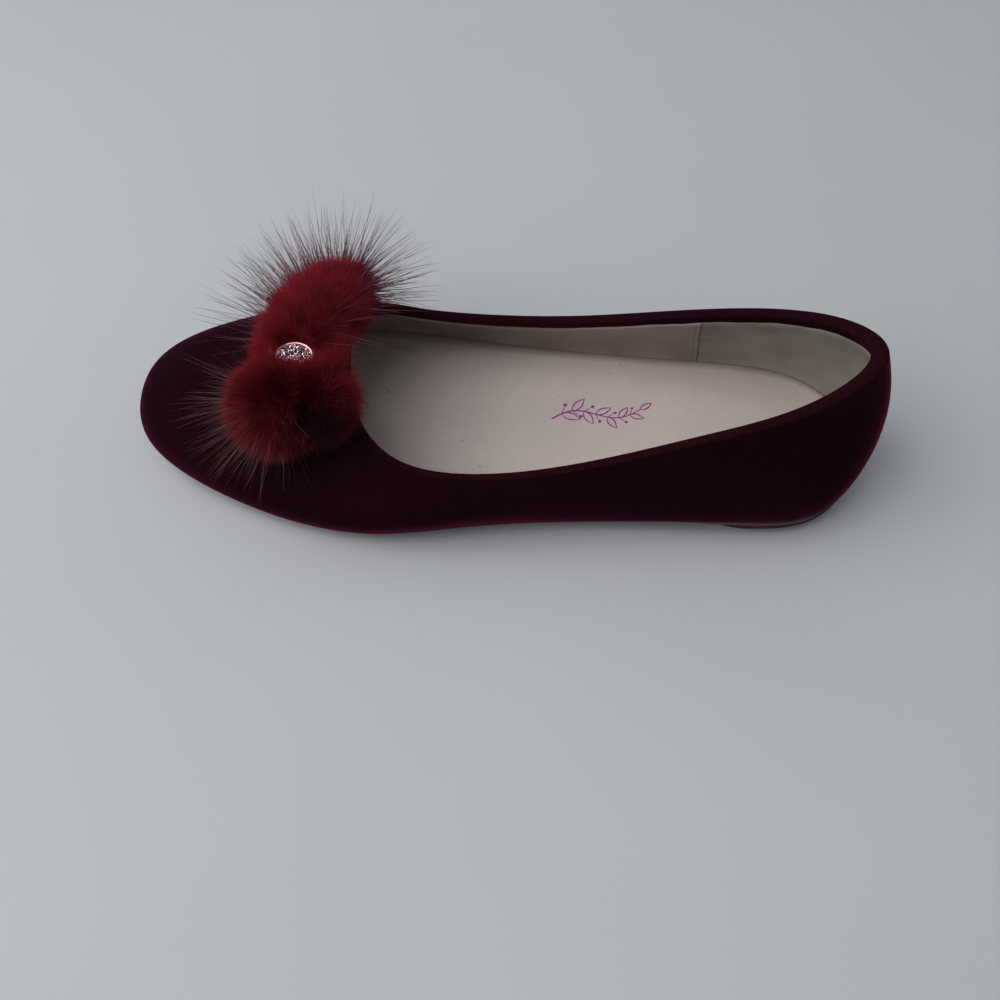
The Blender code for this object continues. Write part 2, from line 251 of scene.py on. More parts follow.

# Painted shade on the fur: it is painted darker towards the heel and on the lateral lobes away from the
# clasp, most at the lateral tail's edge
SHADE_START = -62.0
SHADE_SPAN = 17.0
SHADE_MEDIAL = 0.32
SHADE_LATERAL = 0.47
SHADE_MOTTLE = 0.12
SHADE_TOE = 0.35
SHADE_SIDE = -9.0
SHADE_SIDE_SPAN = 11.0
SHADE_EDGE = -16.0
SHADE_EDGE_SPAN = 9.0
SHADE_EDGE_RISE = 0.55

# A row for each kind of hair: shortest, how strongly most are short, width at the root,
# straight segments, shares of normal, sweep, tufts and chance, curl, droop, and the steepest
# skin that it grows on
HAIR_COLUMNS = (
    "shortest", "skew", "width", "segments",
    "normal", "sweep", "tuft", "chance", "curl", "droop", "steepest",
)
HAIR_ROWS = {
    "underfur": (3.2, 2.2, 0.11, 1, 0.75, 0.60, 0.08, 0.20, 0.10, 0.05, 1.0),
    "guard":    (6.0, 2.3, 0.17, 5, 0.95, 0.45, 0.02, 0.22, 0.05, 0.05, 0.75),
}

# Guard hairs are densest where a lobe's skin faces this way in plan, with the least share
# elsewhere, and finer on the lateral lobes
GUARD_WAY = {
    "bow_loop_medial": (-0.03, 1.0),
    "bow_loop_lateral": (-0.90, -0.44),
    "bow_tail_medial": (0.24, 0.97),
    "bow_tail_lateral": (-0.90, -0.44),
}
GUARD_LEAST = 0.10
GUARD_SPREAD = 0.2
LATERAL_FINE = 0.56

# A row for each lobe and kind of hair: hairs over the whole form, the longest, and the share
# of its rise that an upright hair keeps
COAT_COLUMNS = ("hairs", "longest", "lift")
COAT_ROWS = {
    ("bow_loop_medial", "underfur"):  (220000, 7.4, 1.0),
    ("bow_loop_medial", "guard"):     (12500, 27.5, 0.8),
    ("bow_loop_lateral", "underfur"): (200000, 7.8, 1.0),
    ("bow_loop_lateral", "guard"):    (2600, 22.0, 0.5),
    ("bow_tail_medial", "underfur"):  (220000, 7.4, 1.0),
    ("bow_tail_medial", "guard"):     (12500, 27.5, 0.8),
    ("bow_tail_lateral", "underfur"): (130000, 7.4, 1.0),
    ("bow_tail_lateral", "guard"):    (420, 12.0, 0.5),
}

# Clasp: a dome under stones set in rings, and a bezel round them, tilted up at the far side. A
# stone's profile gives shares of its radius and height at its foot, its girdle and its table.
DOME_RINGS = 10
DOME_POLAR = 75.0
DOME_FOOT = 1.0
BEZEL_POLAR = 58.0
BEZEL_WIDE = 0.62
BEZEL_HIGH = 0.45
BEZEL_LIFT = 0.35
BEZEL_TILT = 0.5
BEZEL_SEGMENTS = 72
BEZEL_SIDES = 20
STONE_RADIUS = 0.32
STONE_HEIGHT = 0.19
STONE_SINK = 0.08
STONE_SIDES = 6
STONE_TILT = 0.42
STONE_RINGS = 8
STONE_EDGE = 46.0
STONE_PROFILE = ((0.75, -0.8), (1.0, 0.0), (0.5, 1.0))

# The camera stands where the photograph was taken from
CAMERA_ELEVATION = 58.09
CAMERA_YAW = 4.37
CAMERA_DISTANCE = 293.04
CAMERA_TARGET = np.array((2.715, -31.435, 18.0))
CAMERA_LENS = 37.8
CAMERA_SENSOR = 36.0
CAMERA_NEAR = 0.01

# Studio in metres: round lamps with their place, size and power, and the room's even light on
# its bright and its dark side
LAMPS = {
    "key": ((-0.76, -0.14, 0.97), 1.3, 9.6),
    "top": ((-0.10, -0.30, 1.12), 0.3, 0.85),
}
LAMP_COLOUR = (1.0, 0.985, 0.97)
LAMP_TARGET = (0.0, 0.0, 0.02)
SKY_COLOUR = (0.91, 0.955, 1.0, 1.0)
SKY_STRENGTH = (0.41, 0.23)
SKY_TURN = (0.1, 0.85)
DARK_SIDE = (0.88, -0.40, 0.26)
FLOOR_HALF = 4.0

# The last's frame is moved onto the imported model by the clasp's middle
clasp_low, clasp_high = (np.array(corner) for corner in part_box("bow_clasp"))
SHIFT = 0.5 * (clasp_low + clasp_high) - CLASP_CENTRE * MM
SHIFT[2] = 0.0


# Forms of the last

def closed_spline(rows, u):
    """Points of the closed cubic spline through the rows, one row per unit of u."""
    count = len(rows)
    unit = np.eye(count)
    system = 4.0 * unit + np.roll(unit, 1, axis=1) + np.roll(unit, -1, axis=1)
    second = np.roll(rows, 1, axis=0) - 2.0 * rows + np.roll(rows, -1, axis=0)
    bend = np.linalg.solve(system, 6.0 * second)
    start = np.floor(u).astype(int) % count
    end = (start + 1) % count
    t = (u - np.floor(u))[:, None]
    s = 1.0 - t
    curve = (s**3 - s) * bend[start] + (t**3 - t) * bend[end]
    return s * rows[start] + t * rows[end] + curve / 6.0


def smooth_step(t):
    t = np.clip(t, 0.0, 1.0)
    return t * t * (3.0 - 2.0 * t)


def unit_rows(vectors):
    return vectors / np.linalg.norm(vectors, axis=-1, keepdims=True)


def plan_normals(curve):
    """Outward level normals of a closed curve that runs clockwise seen from above."""
    along = unit_rows((np.roll(curve, -1, axis=0) - np.roll(curve, 1, axis=0))[:, :2])
    return np.column_stack((-along[:, 1], along[:, 0]))


def tread_height(x):
    """Height of the outsole's underside: flat forefoot, toe spring, rise to the heel."""
    toe = np.clip((FLAT_FRONT - x) / (FLAT_FRONT - TOE_END), 0.0, None)
    waist = smooth_step((x - FLAT_BACK) / (HEEL_SEAT - FLAT_BACK))
    return TOE_SPRING * toe**TOE_CURVE + HEEL_RISE * waist


def feather_height(x):
    return tread_height(x) + SOLE_THICKNESS + GAP


class Last:
    """The upper's outer form, sampled at stations around the shoe."""

    def __init__(self, stations_per_row):
        rows = np.array(list(LAST_ROWS.values()))
        u = np.arange(len(rows) * stations_per_row) / stations_per_row
        value = dict(zip(LAST_COLUMNS, closed_spline(rows, u).T))
        self.feather = np.column_stack(
            (value["feather_x"], value["feather_y"], feather_height(value["feather_x"]))
        )
        self.top = np.column_stack((value["top_x"], value["top_y"], value["top_z"]))
        self.feather_out = plan_normals(self.feather)
        self.top_out = plan_normals(self.top)
        self.inset = value["inset"]
        self.roll = value["roll"][:, None]
        lean = np.radians(value["lean"])
        slope = np.radians(value["slope"])
        leave = np.column_stack((self.feather_out * np.sin(lean)[:, None], np.cos(lean)))
        arrive = np.column_stack((-self.top_out * np.cos(slope)[:, None], np.sin(slope)))
        self.low = self.feather + leave * value["rise"][:, None]
        self.high = self.top - arrive * value["reach"][:, None]
        self.arrive = arrive

    def outer(self, v):
        """Outer wall points at height v, 0 at the feather edge and 1 at the topline."""
        s = 1.0 - v
        return (
            s**3 * self.feather + 3 * v * s**2 * self.low
            + 3 * v**2 * s * self.high + v**3 * self.top
        )

    def normal(self, v):
        s = 1.0 - v
        ring = self.outer(v)
        around = np.roll(ring, -1, axis=0) - np.roll(ring, 1, axis=0)
        rising = (
            s**2 * (self.low - self.feather) + 2 * v * s * (self.high - self.low)
            + v**2 * (self.top - self.high)
        )
        return unit_rows(np.cross(rising, around))

    def inner(self, v):
        """Inner wall points; the wall thickens to the rolled topline's width."""
        swell = smooth_step((v - 1.0 + RIM_TAPER) / RIM_TAPER)
        return self.outer(v) - self.normal(v) * (WALL + (self.roll - WALL) * swell)

    def margin(self, inset, lift):
        """Points inside the feather edge by inset, raised by lift above the sole's seat."""
        plan = self.feather[:, :2] - self.feather_out * inset
        return np.column_stack((plan, feather_height(plan[:, 0]) + lift))

    def rim(self, turn):
        """Points over the rolled topline, from the outer edge at 0 to the inner at pi."""
        half = 0.5 * self.roll
        out = self.normal(1.0)
        middle = self.top - out * half
        pressed = np.exp(-(((turn - RIM_LINE_TURN) / RIM_LINE_SPREAD) ** 2))
        swell = 1.0 - RIM_LINE_DEPTH * pressed
        roll = out * half * np.cos(turn) + self.arrive * RIM_CROWN * np.sin(turn)
        return middle + roll * swell

    def inside_line(self):
        """Points down the inside of the wall, from the topline to the sole's seat."""
        steps = [self.rim(np.pi)]
        steps += [self.inner(v) for v in np.linspace(INNER_END, INNER_START, 2 * WALL_STEPS)]
        steps.append(self.margin(WALL + INNER_FILLET, MARGIN_THICKNESS))
        return np.array(steps)

    def inside_at(self, lift):
        """Plan outline of the inner wall at a height above the sole's seat."""
        walls = self.inside_line()[::-1][: WALL_STEPS + 1]
        outline = np.empty((len(self.feather), 2))
        for station in range(len(outline)):
            heights = walls[:, station, 2] - feather_height(walls[:, station, 0])
            for axis in range(2):
                outline[station, axis] = np.interp(lift, heights, walls[:, station, axis])
        return outline


# Meshes

class Shape:
    """Points in the last's frame and faces between them, gathered part by part."""

    def __init__(self, *part, **values):
        self.points = []
        self.faces = []
        self.face_slots = []
        self.values = {}
        self.count = 0
        if part:
            self.add(*part, **values)

    def add(self, points, faces, slot=0, **values):
        points = np.asarray(points, float).reshape(-1, 3)
        self.faces.append(faces + self.count)
        self.face_slots.append(np.full(len(faces), slot))
        for name, numbers in values.items():
            self.values.setdefault(name, []).append(np.asarray(numbers, float).ravel())
        self.points.append(points)
        self.count += len(points)

    def mesh(self, name, materials, closed=True, flat=False, sharp_angle=None):
        """The mesh in the model's frame; a closed one has its faces turned outwards."""
        mesh = bpy.data.meshes.new(name)
        points = np.vstack(self.points) * MM + SHIFT
        corners = np.concatenate([faces.ravel() for faces in self.faces])
        sizes = np.concatenate([np.full(len(faces), faces.shape[1]) for faces in self.faces])
        mesh.vertices.add(len(points))
        mesh.vertices.foreach_set("co", points.ravel())
        mesh.loops.add(len(corners))
        mesh.loops.foreach_set("vertex_index", corners.astype(np.int32))
        mesh.polygons.add(len(sizes))
        mesh.polygons.foreach_set("loop_start", (np.cumsum(sizes) - sizes).astype(np.int32))
        mesh.polygons.foreach_set(
            "material_index", np.concatenate(self.face_slots).astype(np.int32)
        )
        mesh.update(calc_edges=True)
        mesh.validate()
        if closed:
            turned = bmesh.new()
            turned.from_mesh(mesh)
            bmesh.ops.recalc_face_normals(turned, faces=turned.faces)
            turned.to_mesh(mesh)
            turned.free()
        for value, parts in self.values.items():
            layer = mesh.attributes.new(value, "FLOAT", "POINT")
            layer.data.foreach_set("value", np.concatenate(parts).astype(np.float32))
        if flat:
            mesh.shade_flat()
        else:
            mesh.shade_smooth()
        if sharp_angle is not None:
            mesh.set_sharp_from_angle(angle=np.radians(sharp_angle))
        for material in materials:
            mesh.materials.append(material)
        return mesh


def add_piece(name, shape, materials, slot, stands_for=(), **shading):
    """Put a shape in the scene as a piece, on the model's only body."""
    piece = bpy.data.objects.new(name, shape.mesh(name, materials, **shading))
    bpy.context.scene.collection.objects.link(piece)
    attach(piece, "root")
    if stands_for:
        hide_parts(*stands_for)


def grid_faces(rows, columns, close_rows=False, close_columns=True):
    """Quads between neighbouring points of a grid that is listed row by row."""
    row = np.arange(rows if close_rows else rows - 1)[:, None]
    column = np.arange(columns if close_columns else columns - 1)[None, :]
    next_row = (row + 1) % rows
    next_column = (column + 1) % columns
    corners = (
        row * columns + column, row * columns + next_column,
        next_row * columns + next_column, next_row * columns + column,
    )
    return np.stack(corners, axis=-1).reshape(-1, 4)


def ladder_faces(start, count):
    """Quads that fill a ring of points, from rungs between its two sides."""
    i = np.arange(count // 2 - 1)
    rungs = (i, i + 1, count - 2 - i, count - 1 - i)
    return start + np.stack(rungs, axis=-1)


def ring_stack(rings):
    """Points and faces of a closed body through rings with equal counts."""
    count = len(rings[0])
    sides = grid_faces(len(rings), count)
    last_start = (len(rings) - 1) * count
    ends = np.vstack((ladder_faces(0, count), ladder_faces(last_start, count)))
    return np.vstack(rings), np.vstack((sides, ends))


def paired_ring(outline, height, count, start=None):
    """A plan outline cut at levels of X into lateral and medial points of equal X.

    The ring runs from the toe end along the lateral side to the heel and back along the
    medial side. With start it begins there, with a straight front edge.
    """
    toe = int(np.argmin(outline[:, 0]))
    heel = int(np.argmax(outline[:, 0]))
    lateral = np.roll(outline, -heel, axis=0)[: (toe - heel) % len(outline) + 1][::-1]
    medial = np.roll(outline, -toe, axis=0)[: (heel - toe) % len(outline) + 1]
    low = outline[toe, 0] + TIP_STEP if start is None else start
    high = outline[heel, 0] - TIP_STEP
    spread = 0.5 - 0.5 * np.cos(np.linspace(0.0, np.pi, count))
    if start is not None:
        spread = np.sin(np.linspace(0.0, 0.5 * np.pi, count))
    x = low + (high - low) * spread
    side = [np.column_stack((x, np.interp(x, half[:, 0], half[:, 1]))) for half in (lateral, medial)]
    plan = np.vstack((side[0], side[1][::-1]))
    return np.column_stack((plan, height(plan[:, 0])))


def drawn_in(ring, share):
    """A paired ring drawn towards its middle line, to that share of its width."""
    middle = 0.5 * (ring[:, 1] + ring[::-1, 1])
    drawn = ring.copy()
    drawn[:, 1] = middle + share * (ring[:, 1] - middle)
    return drawn


# Materials

def rgb(red, green, blue):
    return (red, green, blue, 1.0)


class Graph:
    """The nodes of a material or a world, with a short way to add one and fill its inputs."""

    def __init__(self, owner):
        owner.use_nodes = True
        self.tree = owner.node_tree

    def give(self, node, inputs):
        for key, value in inputs.items():
            if isinstance(value, bpy.types.NodeSocket):
                self.tree.links.new(value, node.inputs[key])
            else:
                node.inputs[key].default_value = value

    def node(self, kind, inputs=None, **settings):
        made = self.tree.nodes.new(kind)
        for key, value in settings.items():
            setattr(made, key, value)
        self.give(made, inputs or {})
        return made

    def limits(self, value, low, high, to_low=0.0, to_high=1.0, **settings):
        inputs = {
            "Value": value, "From Min": low, "From Max": high,
            "To Min": to_low, "To Max": to_high,
        }
        return self.node("ShaderNodeMapRange", inputs, **settings).outputs[0]


class Finish(Graph):
    """One Principled material, with short ways to lay out its nodes."""

    def __init__(self, name, **constants):
        self.material = bpy.data.materials.new(name)
        super().__init__(self.material)
        self.shader = self.tree.nodes["Principled BSDF"]
        self.give(self.shader, {key.replace("_", " "): value for key, value in constants.items()})
        self.place = self.node("ShaderNodeTexCoord").outputs["Object"]

    def noise(self, size, detail=2.0, stretch=(1.0, 1.0, 1.0)):
        """Cloudy values around a half, with features of that size in millimetres."""
        place = self.node("ShaderNodeMapping", {"Vector": self.place, "Scale": stretch})
        inputs = {"Vector": place.outputs[0], "Scale": 1.0 / (size * MM), "Detail": detail}
        return self.node("ShaderNodeTexNoise", inputs).outputs[0]

    def patches(self, size, detail, low=0.3, high=0.7, to=(0.0, 1.0), stretch=(1.0, 1.0, 1.0)):
        """Noise of that size, spread so that its low and high become the two limits."""
        return self.limits(self.noise(size, detail, stretch), low, high, *to)

    def grain(self, size):
        """Pebbles of that size in millimetres, 0 at their middles."""
        inputs = {"Vector": self.place, "Scale": 1.0 / (size * MM)}
        return self.node("ShaderNodeTexVoronoi", inputs).outputs["Distance"]

    def math(self, operation, first, second):
        return self.node("ShaderNodeMath", {0: first, 1: second}, operation=operation).outputs[0]

    def mix(self, share, first, second):
        inputs = {0: share, 6: first, 7: second}
        return self.node("ShaderNodeMix", inputs, data_type="RGBA").outputs[2]

    def over(self, base, colour, share, most=None):
        """The base with a colour laid over it by a share, at most that strongly."""
        return self.mix(self.math("MULTIPLY", share, most) if most else share, base, colour)

    def spot(self, centre, inside, outside):
        """1 within the inside radius of a point of the last's frame, 0 past the outside."""
        middle = np.array(centre) * MM + SHIFT
        far = self.node(
            "ShaderNodeVectorMath", {0: self.place, 1: tuple(middle)}, operation="DISTANCE"
        ).outputs["Value"]
        return self.limits(far, inside * MM, outside * MM, 1.0, 0.0)

    def specks(self, spacing, size, share):
        """1 on small specks of that size, in that share of cells a spacing apart."""
        inputs = {"Vector": self.place, "Scale": 1.0 / (spacing * MM)}
        cells = self.node("ShaderNodeTexVoronoi", inputs)
        near = self.limits(cells.outputs["Distance"], 0.5 * size / spacing, size / spacing, 1.0, 0.0)
        pick = self.node("ShaderNodeSeparateColor", {0: cells.outputs["Color"]}).outputs[0]
        chosen = self.math("LESS_THAN", pick, share)
        return self.math("MULTIPLY", near, chosen)

    def value(self, name):
        return self.node("ShaderNodeAttribute", attribute_name=name).outputs["Fac"]

    def colour(self, socket):
        self.give(self.shader, {"Base Color": socket})

    def roughness(self, value, low, high):
        self.give(self.shader, {"Roughness": self.limits(value, 0.0, 1.0, low, high)})

    def bump(self, height, depth):
        """Relief of that depth in millimetres; a second call adds to the first."""
        inputs = {"Height": height, "Distance": depth * MM}
        below = self.shader.inputs["Normal"].links
        if below:
            inputs["Normal"] = below[0].from_socket
        self.give(self.shader, {"Normal": self.node("ShaderNodeBump", inputs).outputs[0]})


def velvet_finish():
    finish = Finish(
        "velvet", Roughness=0.9, Specular_IOR_Level=0.02,
        Sheen_Weight=0.52, Sheen_Roughness=0.27, Sheen_Tint=rgb(0.52, 0.045, 0.15),
    )
    brushed = finish.patches(26.0, 3.0)
    pile = finish.patches(0.55, 2.0, stretch=(0.5, 1.0, 1.0))
    base = finish.mix(brushed, rgb(0.0066, 0.0015, 0.0027), rgb(0.0124, 0.0027, 0.0050))
    base = finish.over(base, rgb(0.018, 0.0034, 0.0070), pile, 0.5)
    # Painted sheen: paler and more purple along the lower edge
    painted_sheen = finish.math("MULTIPLY", finish.value("low"), finish.limits(brushed, 0.0, 1.0, 0.55, 1.0))
    base = finish.over(base, rgb(0.052, 0.0055, 0.0210), painted_sheen)
    # Painted sheen: the rolled topline is painted paler, in patches
    patchy_mark = finish.patches(1.1, 4.0, 0.45, 0.75, (0.35, 1.0))
    patch_tone = finish.math("MULTIPLY", finish.value("rim"), patchy_mark)
    base = finish.over(base, rgb(0.024, 0.0050, 0.0084), patch_tone)
    lint = finish.specks(9.0, 0.22, 0.12)
    finish.colour(finish.over(base, rgb(0.30, 0.25, 0.24), lint, 0.6))
    finish.bump(finish.noise(0.4), 0.08)
    finish.bump(finish.noise(9.0), 0.25)
    return finish.material


def sock_finish(sock):
    finish = Finish("sock", Specular_IOR_Level=0.35)
    cloud = finish.patches(30.0, 4.0)
    fine = finish.patches(1.2, 3.0)
    base = finish.mix(cloud, rgb(0.53, 0.455, 0.427), rgb(0.60, 0.517, 0.486))
    base = finish.over(base, rgb(0.44, 0.37, 0.34), fine, 0.25)
    dirt = finish.math("MULTIPLY", finish.specks(7.0, 0.3, 0.06), 0.6)
    for place in SOCK_SPECKS:
        high = sock.height(np.array([place]))[0]
        speck = finish.spot((*place, high), 0.5 * SPECK_RADIUS, SPECK_RADIUS)
        dirt = finish.math("MAXIMUM", dirt, finish.math("MULTIPLY", speck, 0.8))
    base = finish.over(base, rgb(0.10, 0.075, 0.065), dirt)
    # The dark cut edge, partly painted shade where the sock meets the lining
    finish.colour(finish.over(base, rgb(0.09, 0.068, 0.058), finish.value("edge")))
    finish.roughness(fine, 0.48, 0.62)
    finish.bump(finish.grain(0.75), 0.05)
    finish.bump(finish.noise(3.0), 0.06)
    return finish.material


def lining_finish(name, pale, patch_tone, smudges_and_shade=()):
    """Soft lining with a short nap, darker in patches of wear, and darker still at each smudge spot
    given, some of which are painted shade.
    """
    finish = Finish(name, Specular_IOR_Level=0.2, Sheen_Weight=0.15, Roughness=0.8)
    cloud = finish.patches(16.0, 3.0, 0.35, 0.72)
    nap = finish.patches(0.6, 3.0)
    base = finish.over(finish.mix(cloud, pale, patch_tone), patch_tone, nap, 0.3)
    broken = finish.patches(7.0, 3.0, 0.25, 0.75, (0.45, 1.0))
    # Smudge marks and, beside the seam, painted shade
    for place, radius in smudges_and_shade:
        patchy_mark = finish.math("MULTIPLY", finish.spot(place, 0.2 * radius, radius), broken)
        base = finish.over(base, SMUDGE_AND_SHADE_COLOUR, patchy_mark, 0.5)
    finish.colour(base)
    finish.bump(finish.noise(0.5), 0.07)
    finish.bump(finish.noise(6.0), 0.2)
    return finish.material


def sole_finish(name, brown, edge):
    finish = Finish(name, Specular_IOR_Level=0.18)
    cloud = finish.patches(14.0, 4.0, 0.35, 0.7)
    scuff = finish.patches(2.2, 3.0, 0.5, 0.75, stretch=(0.25, 1.0, 1.0))
    finish.colour(finish.over(finish.mix(cloud, brown, edge), rgb(0.125, 0.066, 0.062), scuff, 0.35))
    finish.roughness(scuff, 0.42, 0.65)
    finish.bump(finish.grain(0.9), 0.05)
    return finish.material


def two_tone(name, patches, colours, rough=None, relief=None, **constants):
    """A finish of two colours in patches, with roughness limits and a relief's depth and noise."""
    finish = Finish(name, **constants)
    patch_tone = finish.patches(*patches)
    finish.colour(finish.mix(patch_tone, *colours))
    if rough:
        finish.roughness(patch_tone, *rough)
    if relief:
        finish.bump(finish.noise(*relief[1:]), relief[0])
    return finish.material


def thread_finish(name, *colours):
    constants = {"Roughness": 0.6, "Specular_IOR_Level": 0.3}
    return two_tone(name, (0.3, 2.0), colours, relief=(0.05, 0.2, 1.0), **constants)


def foil_finish():
    colours = rgb(0.50, 0.060, 0.40), rgb(0.33, 0.032, 0.29)
    constants = {"Metallic": 0.55, "Coat_Weight": 0.2}
    return two_tone("foil", (1.1, 4.0, 0.45, 0.62), colours, (0.28, 0.5), (0.02, 0.5), **constants)


def fur_finish():
    """Underfur, painted redder from root to tip as painted shade deep in the fur, and darkened by its
    painted shade.
    """
    finish = Finish("underfur", Roughness=0.75, Specular_IOR_Level=0.05)
    tip = finish.mix(finish.value("tone"), rgb(0.35, 0.026, 0.040), rgb(0.51, 0.046, 0.066))
    rise = finish.limits(finish.value("along"), 0.2, 0.95)
    # Painted shade: roots painted darker than the tips
    root_to_tip = finish.mix(rise, rgb(0.19, 0.0125, 0.020), tip)
    finish.colour(finish.over(root_to_tip, rgb(0.036, 0.009, 0.013), finish.value("shade")))
    return finish.material


def guard_finish():
    """Guard hairs with a dye-coloured stem and a bare tip, or pale brown all along as a painted glint.
    """
    finish = Finish("guard_hair", Roughness=0.4, Specular_IOR_Level=0.25)
    tone = finish.value("tone")
    stem = finish.mix(tone, rgb(0.075, 0.006, 0.029), rgb(0.155, 0.011, 0.048))
    bare = finish.mix(tone, rgb(0.008, 0.003, 0.006), rgb(0.08, 0.036, 0.038))
    root_to_tip = finish.mix(finish.limits(finish.value("along"), 0.45, 0.95), stem, bare)
    # Painted glint: pale brown all along, for the lateral guard hairs
    tan = finish.mix(tone, rgb(0.010, 0.004, 0.005), rgb(0.22, 0.098, 0.088))
    finish.colour(finish.mix(finish.value("tan"), root_to_tip, tan))
    return finish.material


def metal_with_painted_reflection():
    # Painted reflection: the metal's colour is rosy and dark, standing in for the red fur that it
    # reflects
    colours = rgb(0.66, 0.33, 0.34), rgb(0.52, 0.23, 0.25)
    patches = (0.8, 3.0, 0.4, 0.65)
    return two_tone("clasp_metal_painted_reflection", patches, colours, (0.08, 0.16), (0.01, 1.5), Metallic=0.95)


def setting_finish():
    colours = rgb(0.06, 0.022, 0.028), rgb(0.14, 0.065, 0.075)
    return two_tone("clasp_setting", (0.6, 2.0, 0.4, 0.65), colours, (0.25, 0.40), Metallic=0.9)


def crystal_finish():
    """Small stones, from nearly black over pink to white by their random tone; the pink is partly their
    own colour, the black and white are painted reflections and sparkle.
    """
    finish = Finish("crystal", Metallic=0.85, Roughness=0.06, Coat_Weight=1.0, Coat_Roughness=0.02)
    tone = finish.value("tone")
    pink = finish.mix(finish.limits(tone, 0.20, 0.40), rgb(0.024, 0.006, 0.011), rgb(0.90, 0.46, 0.55))
    finish.colour(finish.over(pink, rgb(1.0, 0.86, 0.90), finish.limits(tone, 0.40, 0.60)))
    return finish.material


# Pieces

def make_upper(last):
    """Velvet wall with its rolled topline, turned in under the sock."""
    profile = [last.margin(MARGIN_WIDTH, 0.0), last.margin(EDGE_ROUND, 0.0)]
    bend_from, bend_to = profile[-1], last.outer(WALL_START)
    for t in np.arange(1, EDGE_STEPS) / EDGE_STEPS:
        s = 1.0 - t
        profile.append(s * s * bend_from + 2 * s * t * last.feather + t * t * bend_to)
    profile += [last.outer(v) for v in np.linspace(WALL_START, 1.0, WALL_STEPS)]
    rim_start = len(profile)
    profile += [last.rim(turn) for turn in np.linspace(0.0, np.pi, RIM_STEPS + 1)[1:]]
    rim_end = len(profile)
    profile += [last.inner(v) for v in np.linspace(INNER_END, INNER_START, WALL_STEPS)]
    profile.append(last.margin(WALL + INNER_FILLET, MARGIN_THICKNESS))
    profile.append(last.margin(MARGIN_WIDTH, MARGIN_THICKNESS))
    # The rolled topline, which the velvet's finish paints paler as painted sheen
    rim = np.zeros((len(profile), len(last.feather)))
    rim[rim_start:rim_end] = 1.0
    # Painted sheen: a share of paler velvet along the lower edge, fading with height and weaker at the
    # heel
    low = np.zeros_like(rim)
    toewards = smooth_step((PAINTED_SHEEN_BACK - last.feather[:, 0]) / PAINTED_SHEEN_SPAN)
    for ring in range(rim_start):
        lift = np.linalg.norm(profile[ring] - last.feather, axis=1)
        low[ring] = (PAINTED_SHEEN_HEEL + (1.0 - PAINTED_SHEEN_HEEL) * toewards) * (1.0 - smooth_step(lift / PAINTED_SHEEN_HEIGHT))
    faces = grid_faces(len(profile), len(last.feather), close_rows=True)
    shape = Shape(profile, faces, rim=rim, low=low)
    add_piece("velvet_upper", shape, [velvet_finish()], "velvet", ["upper"])


class LiningWall:
    """The inside of the wall, measured down from the topline at each station."""

    def __init__(self, last):
        self.line = last.inside_line()
        step = np.linalg.norm(np.diff(self.line, axis=0), axis=2)
        self.depth = np.vstack((np.zeros(step.shape[1]), np.cumsum(step, axis=0)))
        down = np.gradient(self.line, axis=0)
        around = np.roll(self.line, -1, axis=1) - np.roll(self.line, 1, axis=1)
        self.inward = unit_rows(np.cross(down, around))
        lift = self.line[:, :, 2] - feather_height(self.line[:, :, 0])
        self.foot = np.array(
            [np.interp(-LINING_FOOT, -lift[:, i], self.depth[:, i]) for i in range(lift.shape[1])]
        )

    def at(self, depth, station, offset):
        """A point that deep down the wall at a station, standing off it to the inside."""
        first = int(np.floor(station))
        share = station - first
        ends = []
        for column in (first % len(self.foot), (first + 1) % len(self.foot)):
            place, way = (
                np.array([np.interp(depth, self.depth[:, column], part[:, column, k]) for k in range(3)])
                for part in (self.line, self.inward)
            )
            ends.append(place + offset * way / np.linalg.norm(way))
        return (1.0 - share) * ends[0] + share * ends[1]

    def foot_at(self, station):
        return np.interp(station, np.arange(len(self.foot)), self.foot, period=len(self.foot))

    def drop_at(self, station):
        """Depth of the lining's edge, which wanders a little along the topline."""
        waves = [size * np.sin(pace * station + start) for size, pace, start in LINING_WAVES]
        return LINING_DROP + sum(waves)


class Seam:
    """An upright seam of the lining: its station at the topline and at the foot."""

    def __init__(self, top, foot):
        self.top = top
        self.foot = foot

    def moved(self, stations):
        return Seam(self.top + stations, self.foot + stations)

    def at(self, share):
        return self.top + share * (self.foot - self.top)


def lining_strip(wall, start, end, thickness):
    """A thin closed band of lining from one seam to another."""
    loops = []
    shares = np.linspace(0.0, 1.0, LINING_STEPS)
    for along in np.linspace(0.0, 1.0, int(end.top - start.top) + 1):
        line = Seam(
            start.top + along * (end.top - start.top), start.foot + along * (end.foot - start.foot)
        )
        drop = wall.drop_at(line.top)
        stations = [line.at(share) for share in shares]
        depths = drop + LINING_LIP + shares * (wall.foot_at(line.foot) - drop - LINING_LIP)
        face = [wall.at(drop, line.top, 0.5 * thickness)]
        face += [wall.at(*place, thickness) for place in zip(depths, stations)]
        back = [wall.at(*place, LINING_BACK) for place in zip(depths[::-1], stations[::-1])]
        back.append(wall.at(drop, line.top, LINING_BACK))
        loops.append(face + back)
    return Shape(*ring_stack(loops))


def add_thread(shape, middle, thick):
    """A closed round thread along points, with its radius at each of them."""
    turns = np.linspace(0.0, 2.0 * np.pi, STITCH_SIDES, endpoint=False)[None, :, None]
    down = unit_rows(np.gradient(middle, axis=0))
    out = unit_rows(np.cross(down, (1.0, 0.0, 0.0)))
    side = np.cross(down, out)
    ring = np.cos(turns) * out[:, None] + np.sin(turns) * side[:, None]
    shape.add(*ring_stack(list(middle[:, None] + ring * thick[:, None, None])))


